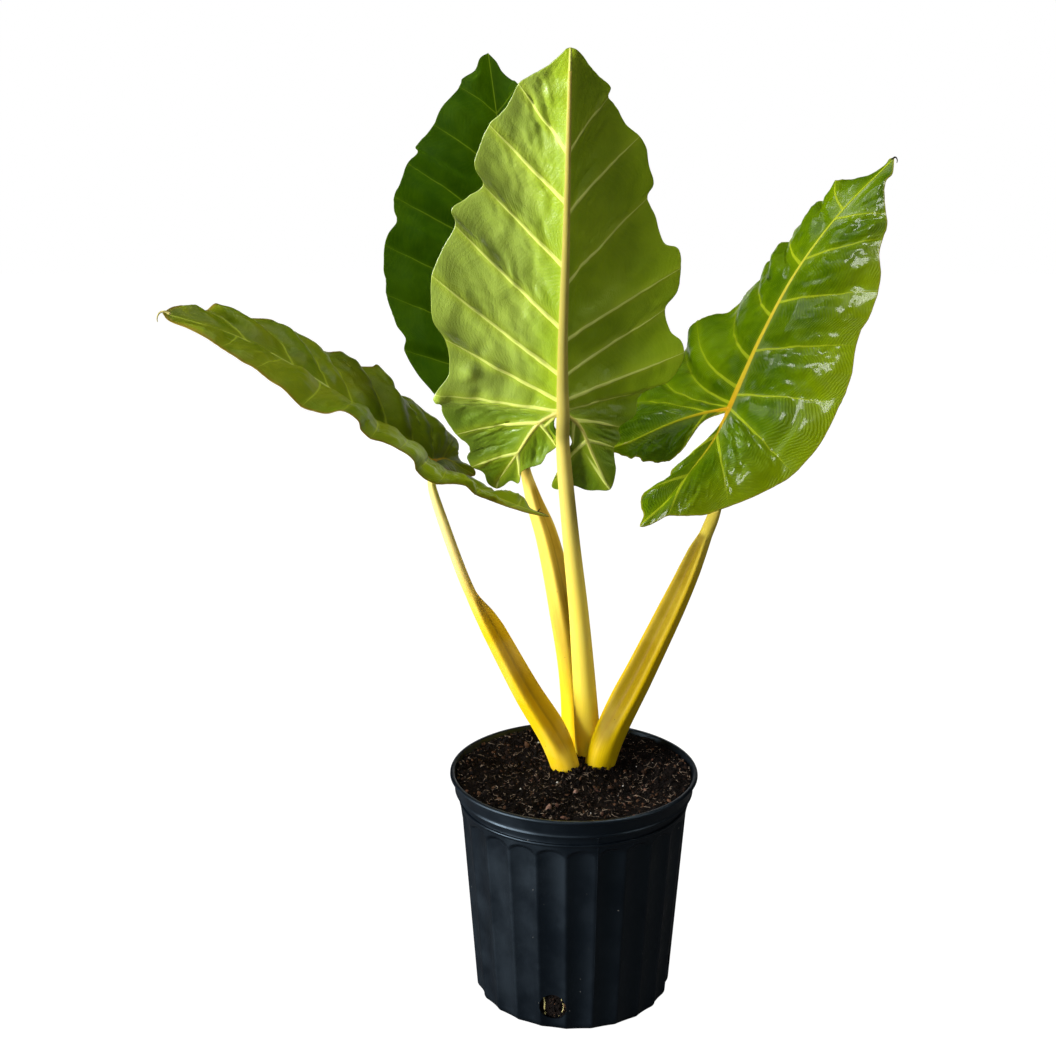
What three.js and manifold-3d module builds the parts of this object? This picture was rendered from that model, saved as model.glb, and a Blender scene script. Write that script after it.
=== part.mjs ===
// Giant taro in a ten-inch nursery pot. Millimetres, +Z up; the pot stands on z = 0 about the Z axis
// and the plant is seen from the front by looking along +Y.
import * as THREE from "three";
import { mergeVertices } from "three/addons/utils/BufferGeometryUtils.js";
import Module from "manifold-3d";

const wasm = await Module();
wasm.setup();

// Pot.
const potHeight = 244;
const potWall = 2.2;
const potFloor = 3;
const rimRadius = 127;
const rimLip = 4.5; // height of the rolled lip at the mouth
const upperBand = { top: 239.5, bottom: 224.7, topRadius: 124, bottomRadius: 121 };
const lowerBand = { top: 224, bottom: 215, topRadius: 117.6, bottomRadius: 115.8 };
const fluteTop = 209; // where the arched tops of the flutes begin
const fluteArch = 9; // height of an arch
const bodyTopRadius = 116.8;
const bodyBaseRadius = 101.5;
const baseCorner = 9; // radius of the corner between wall and underside
const fluteCount = 24;
const fluteDepth = 3;
const fluteStart = THREE.MathUtils.degToRad(-95); // azimuth of one ridge, measured from +X
const drainRadius = 14;
const drainHeight = 27;
const drainAzimuths = [-102.5, -12.5, 77.5, 167.5].map(THREE.MathUtils.degToRad);

// Soil, and the rootstock it holds.
const soilLevel = 234;
const soilMound = 5; // extra height round the stalks
const soilCentre = new THREE.Vector2(12, 34);
const clearance = 0.3; // gap left between pieces that touch
const corm = { x: 10, y: 34, top: 212, bottom: 128, radius: 38 };

// Stalks and blades.
const bladeThickness = 1;
const bladeAcross = 4; // quads from the midrib to the margin
const midribStep = 0.012; // least share of the midrib between two rows of quads
const ribStep = 0.03;
const bladeCamber = 6; // height of the arch between midrib and margin
const stalkSides = 12;
const keelStarts = [1, 0.93, 0.76, 0.53, 0.3, 0.06]; // where along the midrib the keel's half widths are given
const keelGap = 0.35; // between a keel and the sheet over it
const junctionDrop = 2; // how much lower the stalk passes where it bends into the keel

// Each blade hangs on a midrib, tip first, and on two ribs that run into its basal lobes. An edge point is
// [start, x, y, z]: the vein to it starts on the midrib at 0 (tip) to 1 (stalk), or on the rib at 1 to 2.
const leaves = {
  front: {
    midrib: [[-12, -158, 956], [-13, -132, 880], [-14, -106, 802], [-16, -78, 709], [-16, -54, 629]],
    sinus: [-18, -52, 624],
    right: {
      rib: [[-38, -48, 615], [-58, -34, 583], [-77, -14, 552]],
      edge: [
        [0.05, -18, -156, 951], [0.12, -30, -152, 942], [0.2, -43, -148, 934],
        [0.284, -55, -144, 927], [0.32, -60, -141, 917], [0.36, -67, -137, 905],
        [0.427, -80, -131, 893], [0.49, -88, -125, 875], [0.53, -93, -120, 858],
        [0.592, -86, -116, 842], [0.66, -101, -111, 830], [0.7, -114, -108, 820],
        [0.747, -111, -106, 806], [0.81, -124, -100, 782], [0.887, -133, -94, 761],
        [0.93, -134, -87, 738], [0.955, -133, -81, 718], [0.97, -123, -77, 701],
        [0.98, -119, -71, 682], [0.985, -121, -65, 664], [1.0, -134, -60, 647],
        [1.07, -134, -57, 639], [1.13, -128, -55, 635], [1.2, -127, -52, 626],
        [1.3, -115, -45, 605], [1.42, -105, -40, 595], [1.5, -102, -37, 587],
        [1.58, -105, -35, 581], [1.65, -101, -33, 571], [1.8, -90, -26, 563], [1.9, -86, -19, 551],
        [2.0, -78, -12, 544], [1.9, -71, -14, 547], [1.8, -64, -18, 553], [1.7, -56, -20, 551],
        [1.6, -53, -26, 564], [1.5, -45, -30, 569], [1.4, -35, -33, 573], [1.35, -29, -38, 584],
        [1.3, -20, -41, 592], [1.2, -18, -44, 599], [1.1, -23, -47, 606], [1.05, -27, -49, 613],
        [1.02, -24, -51, 621],
      ],
    },
    left: {
      rib: [[2, -47, 613], [15, -34, 582], [29, -20, 550]],
      edge: [
        [0.07, -2, -150, 949], [0.12, 5, -142, 941], [0.19, 14, -132, 932], [0.25, 23, -124, 924],
        [0.289, 21, -121, 916], [0.36, 29, -112, 907], [0.41, 37, -103, 893],
        [0.463, 50, -94, 882], [0.5, 57, -87, 871], [0.53, 60, -80, 857], [0.58, 65, -70, 840],
        [0.64, 60, -66, 827], [0.7, 69, -57, 808], [0.74, 77, -48, 785], [0.765, 91, -43, 779],
        [0.785, 94, -38, 761], [0.84, 92, -32, 738], [0.895, 81, -28, 722], [0.93, 87, -24, 700],
        [0.95, 97, -21, 691], [0.97, 101, -19, 679], [0.985, 98, -17, 666], [0.992, 87, -16, 650],
        [1.0, 69, -15, 643], [1.05, 58, -15, 634], [1.12, 56, -15, 617], [1.22, 41, -16, 606],
        [1.35, 42, -16, 594], [1.5, 36, -17, 586], [1.65, 37, -17, 572], [1.8, 38, -17, 563],
        [2.0, 33, -18, 545], [1.9, 20, -19, 544], [1.8, 10, -20, 544], [1.7, -3, -22, 549],
        [1.6, -13, -24, 546], [1.55, -24, -26, 549], [1.5, -21, -28, 560], [1.4, -14, -32, 575],
        [1.3, -7, -37, 586], [1.2, -5, -41, 595], [1.1, -8, -45, 605], [1.03, -13, -50, 618],
      ],
    },
  },
  back: {
    midrib: [[-90, 275, 952], [-78, 239, 865], [-72, 196, 778], [-66, 150, 694], [-60, 97, 615]],
    sinus: [-60, 92, 606],
    right: {
      rib: [[-49, 96, 595], [-38, 90, 569]],
      edge: [
        [0.03, -81, 274, 943], [0.08, -75, 272, 933], [0.12, -65, 271, 924], [0.18, -58, 270, 920],
        [0.26, -42, 266, 899], [0.36, -17, 260, 862], [0.45, -1, 252, 822], [0.55, 12, 243, 784],
        [0.63, 20, 232, 742], [0.72, 27, 219, 706], [0.79, 27, 200, 671], [0.86, 19, 182, 641],
        [0.93, 6, 165, 620], [0.98, -9, 148, 607], [1.1, -25, 130, 598], [1.4, -29, 110, 582],
        [2.0, -34, 92, 558], [1.6, -45, 90, 569], [1.25, -54, 92, 590],
      ],
    },
    left: {
      rib: [[-75, 76, 597], [-86, 48, 572]],
      edge: [
        [0.04, -98, 264, 947], [0.1, -104, 250, 934], [0.14, -116, 238, 926],
        [0.18, -119, 228, 918], [0.25, -130, 209, 905], [0.31, -138, 198, 896],
        [0.36, -144, 181, 881], [0.43, -162, 163, 860], [0.47, -160, 155, 854],
        [0.52, -169, 144, 844], [0.56, -175, 126, 828], [0.6, -181, 116, 813],
        [0.64, -181, 106, 800], [0.665, -178, 99, 790], [0.69, -185, 89, 781],
        [0.73, -189, 81, 768], [0.77, -190, 68, 748], [0.81, -187, 61, 736], [0.85, -186, 54, 723],
        [0.89, -181, 46, 708], [0.92, -175, 37, 694], [0.945, -167, 31, 684],
        [0.96, -167, 24, 673], [0.98, -156, 16, 653], [1.0, -140, 12, 634], [1.3, -121, 14, 610],
        [1.7, -104, 22, 585], [2.0, -87, 36, 564], [1.6, -73, 54, 570], [1.25, -64, 76, 588],
      ],
    },
  },
  left: {
    midrib: [[-391, -19, 716], [-325, -3, 691], [-259, 14, 650], [-208, 29, 609], [-143, 50, 556]],
    sinus: [-135, 49, 551],
    right: {
      rib: [[-131, 86, 550], [-112, 114, 531]],
      edge: [
        [0.05, -384, -8, 720], [0.12, -376, 4, 718], [0.2, -368, 14, 714], [0.28, -359, 27, 712],
        [0.33, -351, 36, 716], [0.38, -341, 46, 706], [0.44, -325, 62, 699], [0.51, -303, 77, 694],
        [0.58, -294, 84, 684], [0.63, -283, 93, 679], [0.7, -268, 104, 664],
        [0.76, -253, 114, 655], [0.8, -239, 121, 654], [0.82, -235, 124, 645],
        [0.835, -229, 126, 640], [0.87, -213, 131, 637], [0.9, -204, 132, 639],
        [0.93, -198, 134, 631], [0.95, -194, 135, 618], [0.965, -187, 137, 607],
        [0.98, -173, 139, 603], [1.0, -165, 140, 597], [1.1, -153, 140, 585],
        [1.2, -139, 139, 573], [1.35, -126, 136, 563], [1.45, -121, 134, 555],
        [1.55, -123, 132, 544], [1.65, -115, 130, 535], [1.8, -105, 127, 531],
        [2.0, -103, 121, 524], [1.8, -114, 100, 528], [1.5, -122, 80, 536], [1.2, -128, 63, 544],
      ],
    },
    left: {
      rib: [[-104, 14, 540], [-65, 16, 522], [-35, 26, 508]],
      edge: [
        [0.03, -385, -24, 710], [0.1, -367, -35, 704], [0.18, -344, -47, 695],
        [0.25, -332, -54, 689], [0.33, -313, -62, 678], [0.4, -299, -66, 672],
        [0.46, -286, -70, 661], [0.5, -273, -73, 653], [0.54, -256, -75, 638],
        [0.6, -241, -77, 632], [0.64, -231, -78, 631], [0.67, -218, -78, 634],
        [0.71, -205, -78, 625], [0.74, -202, -77, 616], [0.77, -193, -77, 608],
        [0.82, -181, -74, 603], [0.88, -167, -70, 596], [0.93, -155, -64, 584],
        [0.97, -152, -61, 574], [1.0, -144, -57, 564], [1.1, -133, -54, 559],
        [1.2, -121, -48, 557], [1.32, -107, -40, 553], [1.42, -98, -31, 543], [1.6, -83, -17, 532],
        [1.75, -65, -2, 522], [1.9, -46, 13, 512], [2.0, -26, 30, 504], [1.9, -45, 40, 510],
        [1.8, -51, 46, 519], [1.6, -60, 49, 523], [1.45, -75, 49, 523], [1.3, -88, 49, 528],
        [1.2, -110, 49, 538], [1.1, -125, 49, 546],
      ],
    },
  },
  right: {
    midrib: [[341, 223, 845], [280, 183, 792], [229, 140, 735], [188, 91, 675], [151, 30, 615]],
    sinus: [147, 27, 611],
    right: {
      rib: [[133, -6, 591], [106, -56, 571], [72, -116, 550]],
      edge: [
        [0.05, 337, 208, 830], [0.12, 329, 199, 823], [0.2, 325, 188, 809], [0.28, 325, 172, 791],
        [0.36, 324, 160, 778], [0.45, 319, 152, 768], [0.5, 313, 138, 753], [0.56, 313, 125, 736],
        [0.62, 309, 112, 719], [0.69, 298, 94, 696], [0.75, 288, 84, 683], [0.8, 282, 73, 670],
        [0.87, 276, 56, 648], [0.92, 269, 42, 632], [0.955, 261, 30, 619], [0.977, 247, 10, 599],
        [0.988, 232, -9, 581], [1.0, 208, -30, 563], [1.08, 190, -44, 555], [1.16, 166, -64, 549],
        [1.28, 140, -84, 545], [1.38, 117, -100, 541], [1.5, 101, -112, 543], [1.6, 92, -117, 545],
        [1.7, 81, -122, 547], [1.8, 72, -128, 544], [1.9, 63, -134, 541], [2.0, 54, -138, 541],
        [1.93, 58, -124, 547], [1.86, 56, -110, 552], [1.76, 58, -99, 559], [1.65, 64, -90, 562],
        [1.55, 76, -76, 563], [1.46, 86, -64, 565], [1.4, 88, -55, 571], [1.33, 96, -44, 575],
        [1.25, 109, -29, 582], [1.15, 127, -6, 590], [1.05, 142, 15, 600],
      ],
    },
    left: {
      rib: [[123, 31, 609], [93, 34, 598], [50, 38, 577]],
      edge: [
        [0.025, 336, 223, 844], [0.05, 331, 224, 837], [0.1, 315, 227, 826], [0.16, 297, 229, 822],
        [0.24, 282, 230, 821], [0.29, 276, 231, 810], [0.32, 273, 232, 799], [0.36, 263, 232, 797],
        [0.42, 254, 233, 781], [0.47, 241, 233, 769], [0.51, 240, 233, 757], [0.55, 224, 232, 753],
        [0.59, 224, 231, 740], [0.63, 211, 230, 732], [0.67, 210, 228, 721], [0.74, 196, 225, 708],
        [0.79, 187, 222, 699], [0.83, 182, 219, 691], [0.87, 169, 216, 681], [0.9, 150, 213, 679],
        [0.93, 136, 209, 673], [0.955, 127, 205, 664], [0.97, 126, 201, 653],
        [0.985, 122, 196, 643], [0.99, 107, 184, 632], [1.0, 91, 166, 622], [1.1, 76, 145, 613],
        [1.25, 63, 118, 603], [1.5, 49, 92, 592], [1.75, 36, 66, 581], [2.0, 30, 44, 570],
        [1.9, 44, 38, 567], [1.8, 56, 36, 563], [1.7, 62, 35, 565], [1.6, 71, 34, 560],
        [1.48, 85, 31, 559], [1.38, 97, 29, 565], [1.28, 107, 28, 574], [1.18, 113, 27, 585],
        [1.1, 120, 27, 597], [1.05, 131, 28, 605],
      ],
    },
  },};

// Each stalk runs from the rootstock to its blade, as [x, y, z, half width]. sheath is the share of its length
// whose edges are drawn out into wings round the next leaf, and wing is how far. keel is the half width it
// goes on with under the midrib.
const stalks = {
  front: {
    path: [
      [18, 49, 212.3, 14], [14, 40, 284, 12.9], [5, 16, 400, 10.1], [-5, -9, 495, 8.4], [-14, -43, 595, 6.6],
    ],
    sheath: 0.3,
    wing: 0.25,
    keel: [6.2, 5.6, 4.5, 3.4, 2.3, 1.2],
  },
  back: {
    path: [
      [2, 69, 212.3, 12.8], [0, 80, 306, 13.4], [-12, 90, 384, 12.6], [-29, 100, 462, 9.9], [-40, 104, 496, 8.2],
      [-49, 105, 532, 6],
    ],
    sheath: 0.84,
    wing: 0.5,
    keel: [4.8, 4.4, 3.8, 3, 2, 1.2],
  },
  left: {
    path: [
      [-1, 15, 212.3, 14.4], [-17, 18, 262, 14.4], [-49.5, 21, 318, 12.2], [-84.5, 29, 384, 10],
      [-105, 34, 421, 5.3], [-120, 39, 458, 4.8], [-142, 48, 525, 4.6],
    ],
    sheath: 0.67,
    wing: 0.55,
    keel: [4.2, 3.9, 3.4, 2.8, 2, 1.2],
  },
  right: {
    path: [
      [22, 24, 212.3, 15.5], [34.5, 25, 260, 15.4], [70, 25, 338, 13], [101.5, 26, 409, 11.2],
      [118, 28, 448, 9.4], [132, 32, 484, 6.7], [140.5, 35, 508, 6.4],
    ],
    sheath: 0.9,
    wing: 0.5,
    keel: [4.8, 4.4, 3.8, 3, 2, 1.2],
  },
};

const vec = (p) => new THREE.Vector3(p[0], p[1], p[2]);
const spline = (points) => new THREE.CatmullRomCurve3(points, false, "catmullrom", 0.5);
const smoothstep = THREE.MathUtils.smoothstep;
const lerp = THREE.MathUtils.lerp;

// A manifold-3d solid from a closed geometry.
function toSolid(geometry) {
  const bare = new THREE.BufferGeometry();
  bare.setAttribute("position", geometry.getAttribute("position")).setIndex(geometry.getIndex());
  const merged = mergeVertices(bare, 1e-4);
  const index = merged.index.array;
  const triVerts = [];
  for (let i = 0; i < index.length; i += 3) {
    const [a, b, c] = [index[i], index[i + 1], index[i + 2]];
    if (a !== b && b !== c && a !== c) triVerts.push(a, b, c);
  }
  const vertProperties = merged.attributes.position.array;
  return new wasm.Manifold(new wasm.Mesh({ numProp: 3, vertProperties, triVerts: new Uint32Array(triVerts) }));
}

// The geometry of a manifold-3d solid, or of its largest body where a cut has left crumbs.
function toGeometry(solid) {
  const mesh = solid.decompose().sort((a, b) => b.volume() - a.volume())[0].getMesh();
  const geometry = new THREE.BufferGeometry();
  geometry.setAttribute("position", new THREE.BufferAttribute(mesh.vertProperties, 3));
  geometry.setIndex(new THREE.BufferAttribute(mesh.triVerts, 1));
  return geometry;
}

function indexedGeometry(points, triangles) {
  const geometry = new THREE.BufferGeometry().setFromPoints(points);
  return geometry.setIndex(triangles);
}

// A closed skin over a stack of rings with the same number of points, each counterclockwise seen from the last
// ring's end, with a fan over both ends.
function ringSkin(rings) {
  const count = rings[0].length;
  const points = rings.flat();
  const triangles = [];
  for (let i = 0; i + 1 < rings.length; i++)
    for (let j = 0; j < count; j++) {
      const [a, b] = [i * count + j, i * count + ((j + 1) % count)];
      triangles.push(a, b, b + count, a, b + count, a + count);
    }
  for (const [first, turn] of [[0, -1], [(rings.length - 1) * count, 1]]) {
    const middle = new THREE.Vector3();
    for (let j = 0; j < count; j++) middle.addScaledVector(points[first + j], 1 / count);
    points.push(middle);
    for (let j = 0; j < count; j++) {
      const [a, b] = [first + j, first + ((j + 1) % count)];
      triangles.push(points.length - 1, turn > 0 ? a : b, turn > 0 ? b : a);
    }
  }
  return indexedGeometry(points, triangles);
}

// A round of radius(angle) at height z, about the pot's axis.
function round(z, radius, count) {
  return Array.from({ length: count }, (_, j) => {
    const angle = fluteStart + (j / count) * 2 * Math.PI;
    const r = radius(angle);
    return new THREE.Vector3(r * Math.cos(angle), r * Math.sin(angle), z);
  });
}

// Radius of the body's wall at height z before the flutes are cut.
const bodyRadius = (z) => lerp(bodyBaseRadius, bodyTopRadius, z / fluteTop);

// Depth of the flutes: a shallow arc between two sharp ridges, under a round arch.
function fluteCut(angle, z) {
  const across = (((angle - fluteStart) / (2 * Math.PI)) * fluteCount) % 1;
  const side = Math.abs(across - 0.5) * 2;
  const archTop = fluteTop - fluteArch * (1 - Math.sqrt(Math.max(0, 1 - side * side)));
  return fluteDepth * (1 - side * side) * smoothstep(archTop - z, 0, fluteArch);
}

// Radius inside the pot's wall.
function innerRadius(z) {
  const up = (z - lowerBand.bottom) / (potHeight - lowerBand.bottom);
  if (up > 0) return lerp(113.2, rimRadius - 4.6, up);
  return bodyRadius(z) - fluteDepth - potWall;
}

function buildPot() {
  const count = fluteCount * 4;
  const rings = [];
  for (const turn of [0, 0.4, 1]) {
    const angle = (turn * Math.PI) / 2;
    const z = baseCorner * (1 - Math.cos(angle));
    const inset = baseCorner * (1 - Math.sin(angle));
    rings.push(round(z, (a) => bodyRadius(z) - inset - turn * fluteCut(a, z), count));
  }
  for (const z of [110, fluteTop - 2 * fluteArch, fluteTop - 0.8 * fluteArch, fluteTop + 1])
    rings.push(round(z, (a) => bodyRadius(z) - fluteCut(a, z), count));
  const steps = [
    [lowerBand.bottom - 1, lowerBand.bottomRadius + 0.8],
    [lowerBand.bottom, lowerBand.bottomRadius],
    [lowerBand.top, lowerBand.topRadius],
    [upperBand.bottom, upperBand.bottomRadius],
    [upperBand.top, upperBand.topRadius],
    [potHeight - rimLip + 1, rimRadius],
    [potHeight, rimRadius - 0.8],
  ];
  for (const [z, radius] of steps) rings.push(round(z, () => radius, count));
  let pot = toSolid(ringSkin(rings));

  const levels = [potFloor, lowerBand.bottom - 6, lowerBand.bottom + 4, potHeight - rimLip, potHeight + 1];
  const hollow = levels.map((z) => round(z, () => innerRadius(z), 40));
  pot = pot.subtract(toSolid(ringSkin(hollow)));
  for (const azimuth of drainAzimuths) {
    const drill = new THREE.CylinderGeometry(drainRadius, drainRadius, 40, 20);
    drill.rotateZ(Math.PI / 2).translate(bodyBaseRadius, 0, drainHeight).rotateZ(azimuth);
    pot = pot.subtract(toSolid(drill));
  }
  return pot;
}

// Height of the soil: level, with a low mound round the stalks and slow uneven swells.
function soilHeight(x, y) {
  const away = Math.hypot(x - soilCentre.x, y - soilCentre.y);
  const mound = soilMound * Math.exp(-((away / 42) ** 2));
  const swell = 1.3 * Math.sin(x * 0.061 + 1.2) * Math.cos(y * 0.053) + 0.7 * Math.sin(x * 0.13 - y * 0.11);
  return soilLevel + mound + swell;
}

function buildSoil(holes) {
  const count = 32;
  const rings = [potFloor + clearance, lowerBand.bottom - 6, lowerBand.bottom + 4].map((z) =>
    round(z, () => innerRadius(z) - clearance * 1.6, count),
  );
  for (const share of [1, 0.8, 0.6, 0.42, 0.22]) {
    const reach = (innerRadius(soilLevel) - 1.2) * share;
    rings.push(round(0, () => reach, count).map((p) => p.setZ(soilHeight(p.x, p.y))));
  }
  let soil = toSolid(ringSkin(rings));
  for (const hole of holes) soil = soil.subtract(hole);
  return soil;
}

// A tapered round cord along a path.
function cord(path, startRadius, endRadius, rows = 5, sides = 6) {
  const curve = spline(path.map(vec));
  const frames = curve.computeFrenetFrames(rows, false);
  const rings = [];
  for (let i = 0; i <= rows; i++) {
    const centre = curve.getPoint(i / rows);
    const radius = lerp(startRadius, endRadius, i / rows);
    rings.push(
      Array.from({ length: sides }, (_, j) => {
        const angle = (j / sides) * 2 * Math.PI;
        return centre
          .clone()
          .addScaledVector(frames.normals[i], radius * Math.cos(angle))
          .addScaledVector(frames.binormals[i], radius * Math.sin(angle));
      }),
    );
  }
  return ringSkin(rings);
}

// The buried rootstock: a blunt ringed cone with roots that spread to the wall.
function buildCorm(grow) {
  const { x, y, top, bottom, radius } = corm;
  const profile = [[0, 0.5], [0.12, 0.8], [0.35, 0.98], [0.6, 1], [0.8, 0.96], [0.93, 0.86], [1, 0.76]];
  const rings = profile.map(([share, wide]) => {
    const z = lerp(bottom - grow, top + grow, share);
    return Array.from({ length: 16 }, (_, j) => {
      const angle = (j / 16) * 2 * Math.PI;
      const r = radius * wide * (1 + 0.05 * Math.sin(3 * angle + share * 9)) + grow;
      return new THREE.Vector3(x + r * Math.cos(angle), y + r * Math.sin(angle), z);
    });
  });
  let rootstock = toSolid(ringSkin(rings));
  const roots = [
    [[0, 10, 150], [-16, -40, 110], [-20, -74, 60], [-19, -88, 30], [-4, -91, 22]],
    [[-10, 30, 150], [-52, 34, 120], [-76, 30, 70], [-80, 16, 30]],
    [[30, 40, 150], [66, 50, 110], [78, 44, 60], [72, 26, 24]],
    [[14, 56, 150], [20, 80, 100], [8, 86, 50], [-8, 80, 22]],
    [[26, 14, 150], [48, -30, 120], [56, -56, 70], [44, -68, 26]],
  ];
  for (const root of roots) rootstock = rootstock.add(toSolid(cord(root, 4 + grow, 1.8 + grow)));
  return rootstock;
}

// The spine curves and the edge curve of one half of a blade. Up is its upper side.
function halfCurves(leaf, side) {
  const half = leaf[side];
  const midrib = spline(leaf.midrib.map(vec));
  const junction = leaf.midrib[leaf.midrib.length - 1];
  const rib = spline([junction, ...half.rib].map(vec));
  const starts = [0, ...half.edge.map((p) => p[0]), 1];
  const edge = spline([leaf.midrib[0], ...half.edge.map((p) => p.slice(1)), leaf.sinus].map(vec));
  const curves = { starts, lobe: starts.indexOf(Math.max(...starts)) };
  curves.spine = (start) => (start <= 1 ? midrib.getPoint(start) : rib.getPoint(start - 1));
  curves.margin = (place) => edge.getPoint(place / (starts.length - 1));
  // The upper side of this half where a vein starts on the midrib.
  curves.upAt = (start) => {
    const tipward = curves.spine(Math.max(0, start - 0.1));
    const along = tipward.sub(curves.spine(Math.min(1, start + 0.1)));
    const outward = curves.margin(placeOnEdge(curves, start, true)).sub(curves.spine(start));
    return outward.cross(along).multiplyScalar(side === "left" ? -1 : 1).normalize();
  };
  curves.up = curves.upAt(0.5);
  return curves;
}

// The upper side of a whole blade at its midrib.
function leafUp(leaf, start) {
  return halfCurves(leaf, "right").upAt(start).add(halfCurves(leaf, "left").upAt(start)).normalize();
}

// Where the vein that starts here ends, counted in edge points: on the outer edge or the lobe's inner edge.
function placeOnEdge({ starts, lobe }, start, outer) {
  let i = outer ? 0 : starts.length - 2;
  if (outer) while (i + 1 < lobe && starts[i + 1] < start) i++;
  else while (i > lobe && starts[i] < start) i--;
  return i + (start - starts[i]) / (starts[i + 1] - starts[i]);
}

// The rows of a blade, [start, place on the edge] for each half. The halves take theirs off the midrib at the
// same places, and the two sides of a rib do too, so that they share its points.
function bladeRows(halves) {
  const pick = (test) => Object.values(halves).flatMap((h) => h.starts.filter(test));
  const thin = (all, step) =>
    all.sort((a, b) => a - b).reduce((kept, s) => (s - kept.at(-1) < step ? kept : [...kept, s]), [0]);
  const midrib = thin(pick((s) => s < 1), midribStep).filter((s) => 1 - s > midribStep / 2);
  const rows = {};
  for (const [side, curves] of Object.entries(halves)) {
    const onRib = thin(curves.starts.filter((s) => s > 1 && s < 2), ribStep);
    const rib = onRib.slice(1).filter((s) => 2 - s > ribStep / 2);
    rows[side] = [...midrib, 1, ...rib, 2].map((start) => [start, placeOnEdge(curves, start, true)]);
    rows[side].push(...[...rib.reverse(), 1].map((start) => [start, placeOnEdge(curves, start, false)]));
  }
  return rows;
}

// A point of the blade's middle sheet: v runs from the spine (0) to the margin (1), and the strip between
// them arches up by the camber, less where it is short.
function bladePoint(curves, start, place, v) {
  const from = curves.spine(start);
  const to = curves.margin(place);
  const arch = bladeCamber * smoothstep(from.distanceTo(to), 12, 90) * Math.sin(Math.PI * v);
  return from.lerp(to, v).addScaledVector(curves.up, arch);
}

function buildBlade(leaf, thickness) {
  const points = [];
  const seen = new Map();
  const triangles = [];
  const add = (p) => {
    const key = [p.x, p.y, p.z].map((c) => Math.round(c * 500)).join();
    if (!seen.has(key)) seen.set(key, points.push(p) - 1);
    return seen.get(key);
  };
  const push = (a, b, c) => {
    if (a !== b && b !== c && a !== c) triangles.push(a, b, c);
  };
  const halves = { right: halfCurves(leaf, "right"), left: halfCurves(leaf, "left") };
  for (const [side, rows] of Object.entries(bladeRows(halves))) {
    let last = null;
    for (const [start, place] of rows) {
      const row = [];
      for (let j = 0; j <= bladeAcross; j++)
        row.push(add(bladePoint(halves[side], start, place, j / bladeAcross)));
      for (let j = 0; last && j < bladeAcross; j++) {
        const [a, b, c, d] = [last[j], last[j + 1], row[j + 1], row[j]];
        if (side === "left") (push(a, b, c), push(a, c, d));
        else (push(a, c, b), push(a, d, c));
      }
      last = row;
    }
  }
  return thicken(points, triangles, thickness);
}

// Turns a sheet into a solid: a copy on each side of it, split alike, and a strip round the rim.
function thicken(points, triangles, thickness) {
  const sheet = indexedGeometry(points, triangles);
  sheet.computeVertexNormals();
  const normals = sheet.getAttribute("normal");
  const offset = (side) =>
    points.map((p, i) => p.clone().addScaledVector(new THREE.Vector3().fromBufferAttribute(normals, i), side));
  const both = [...offset(thickness / 2), ...offset(-thickness / 2)];
  const all = [];
  const edges = new Map();
  for (let i = 0; i < triangles.length; i += 3) {
    const corner = triangles.slice(i, i + 3);
    all.push(...corner, ...corner.map((k) => k + points.length).reverse());
    corner.forEach((a, k) => edges.set(a + "," + corner[(k + 1) % 3], [a, corner[(k + 1) % 3]]));
  }
  for (const [a, b] of edges.values())
    if (!edges.has(b + "," + a)) all.push(b, a, a + points.length, b, a + points.length, b + points.length);
  return toSolid(indexedGeometry(both, all));
}

// The half width of a stalk's section at an angle from its upper side. In the sheath two wings stand up beside
// a groove; under the blade the section is flattened above.
function stalkSection(halfWidth, wing, angle) {
  const turn = Math.abs(angle);
  const wings = wing * Math.exp(-(((turn - 0.62) / 0.3) ** 2));
  const groove = 0.32 * Math.min(1, wing * 2.5) * Math.exp(-((turn / 0.3) ** 2));
  return halfWidth * (1 + wings - groove);
}

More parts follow.
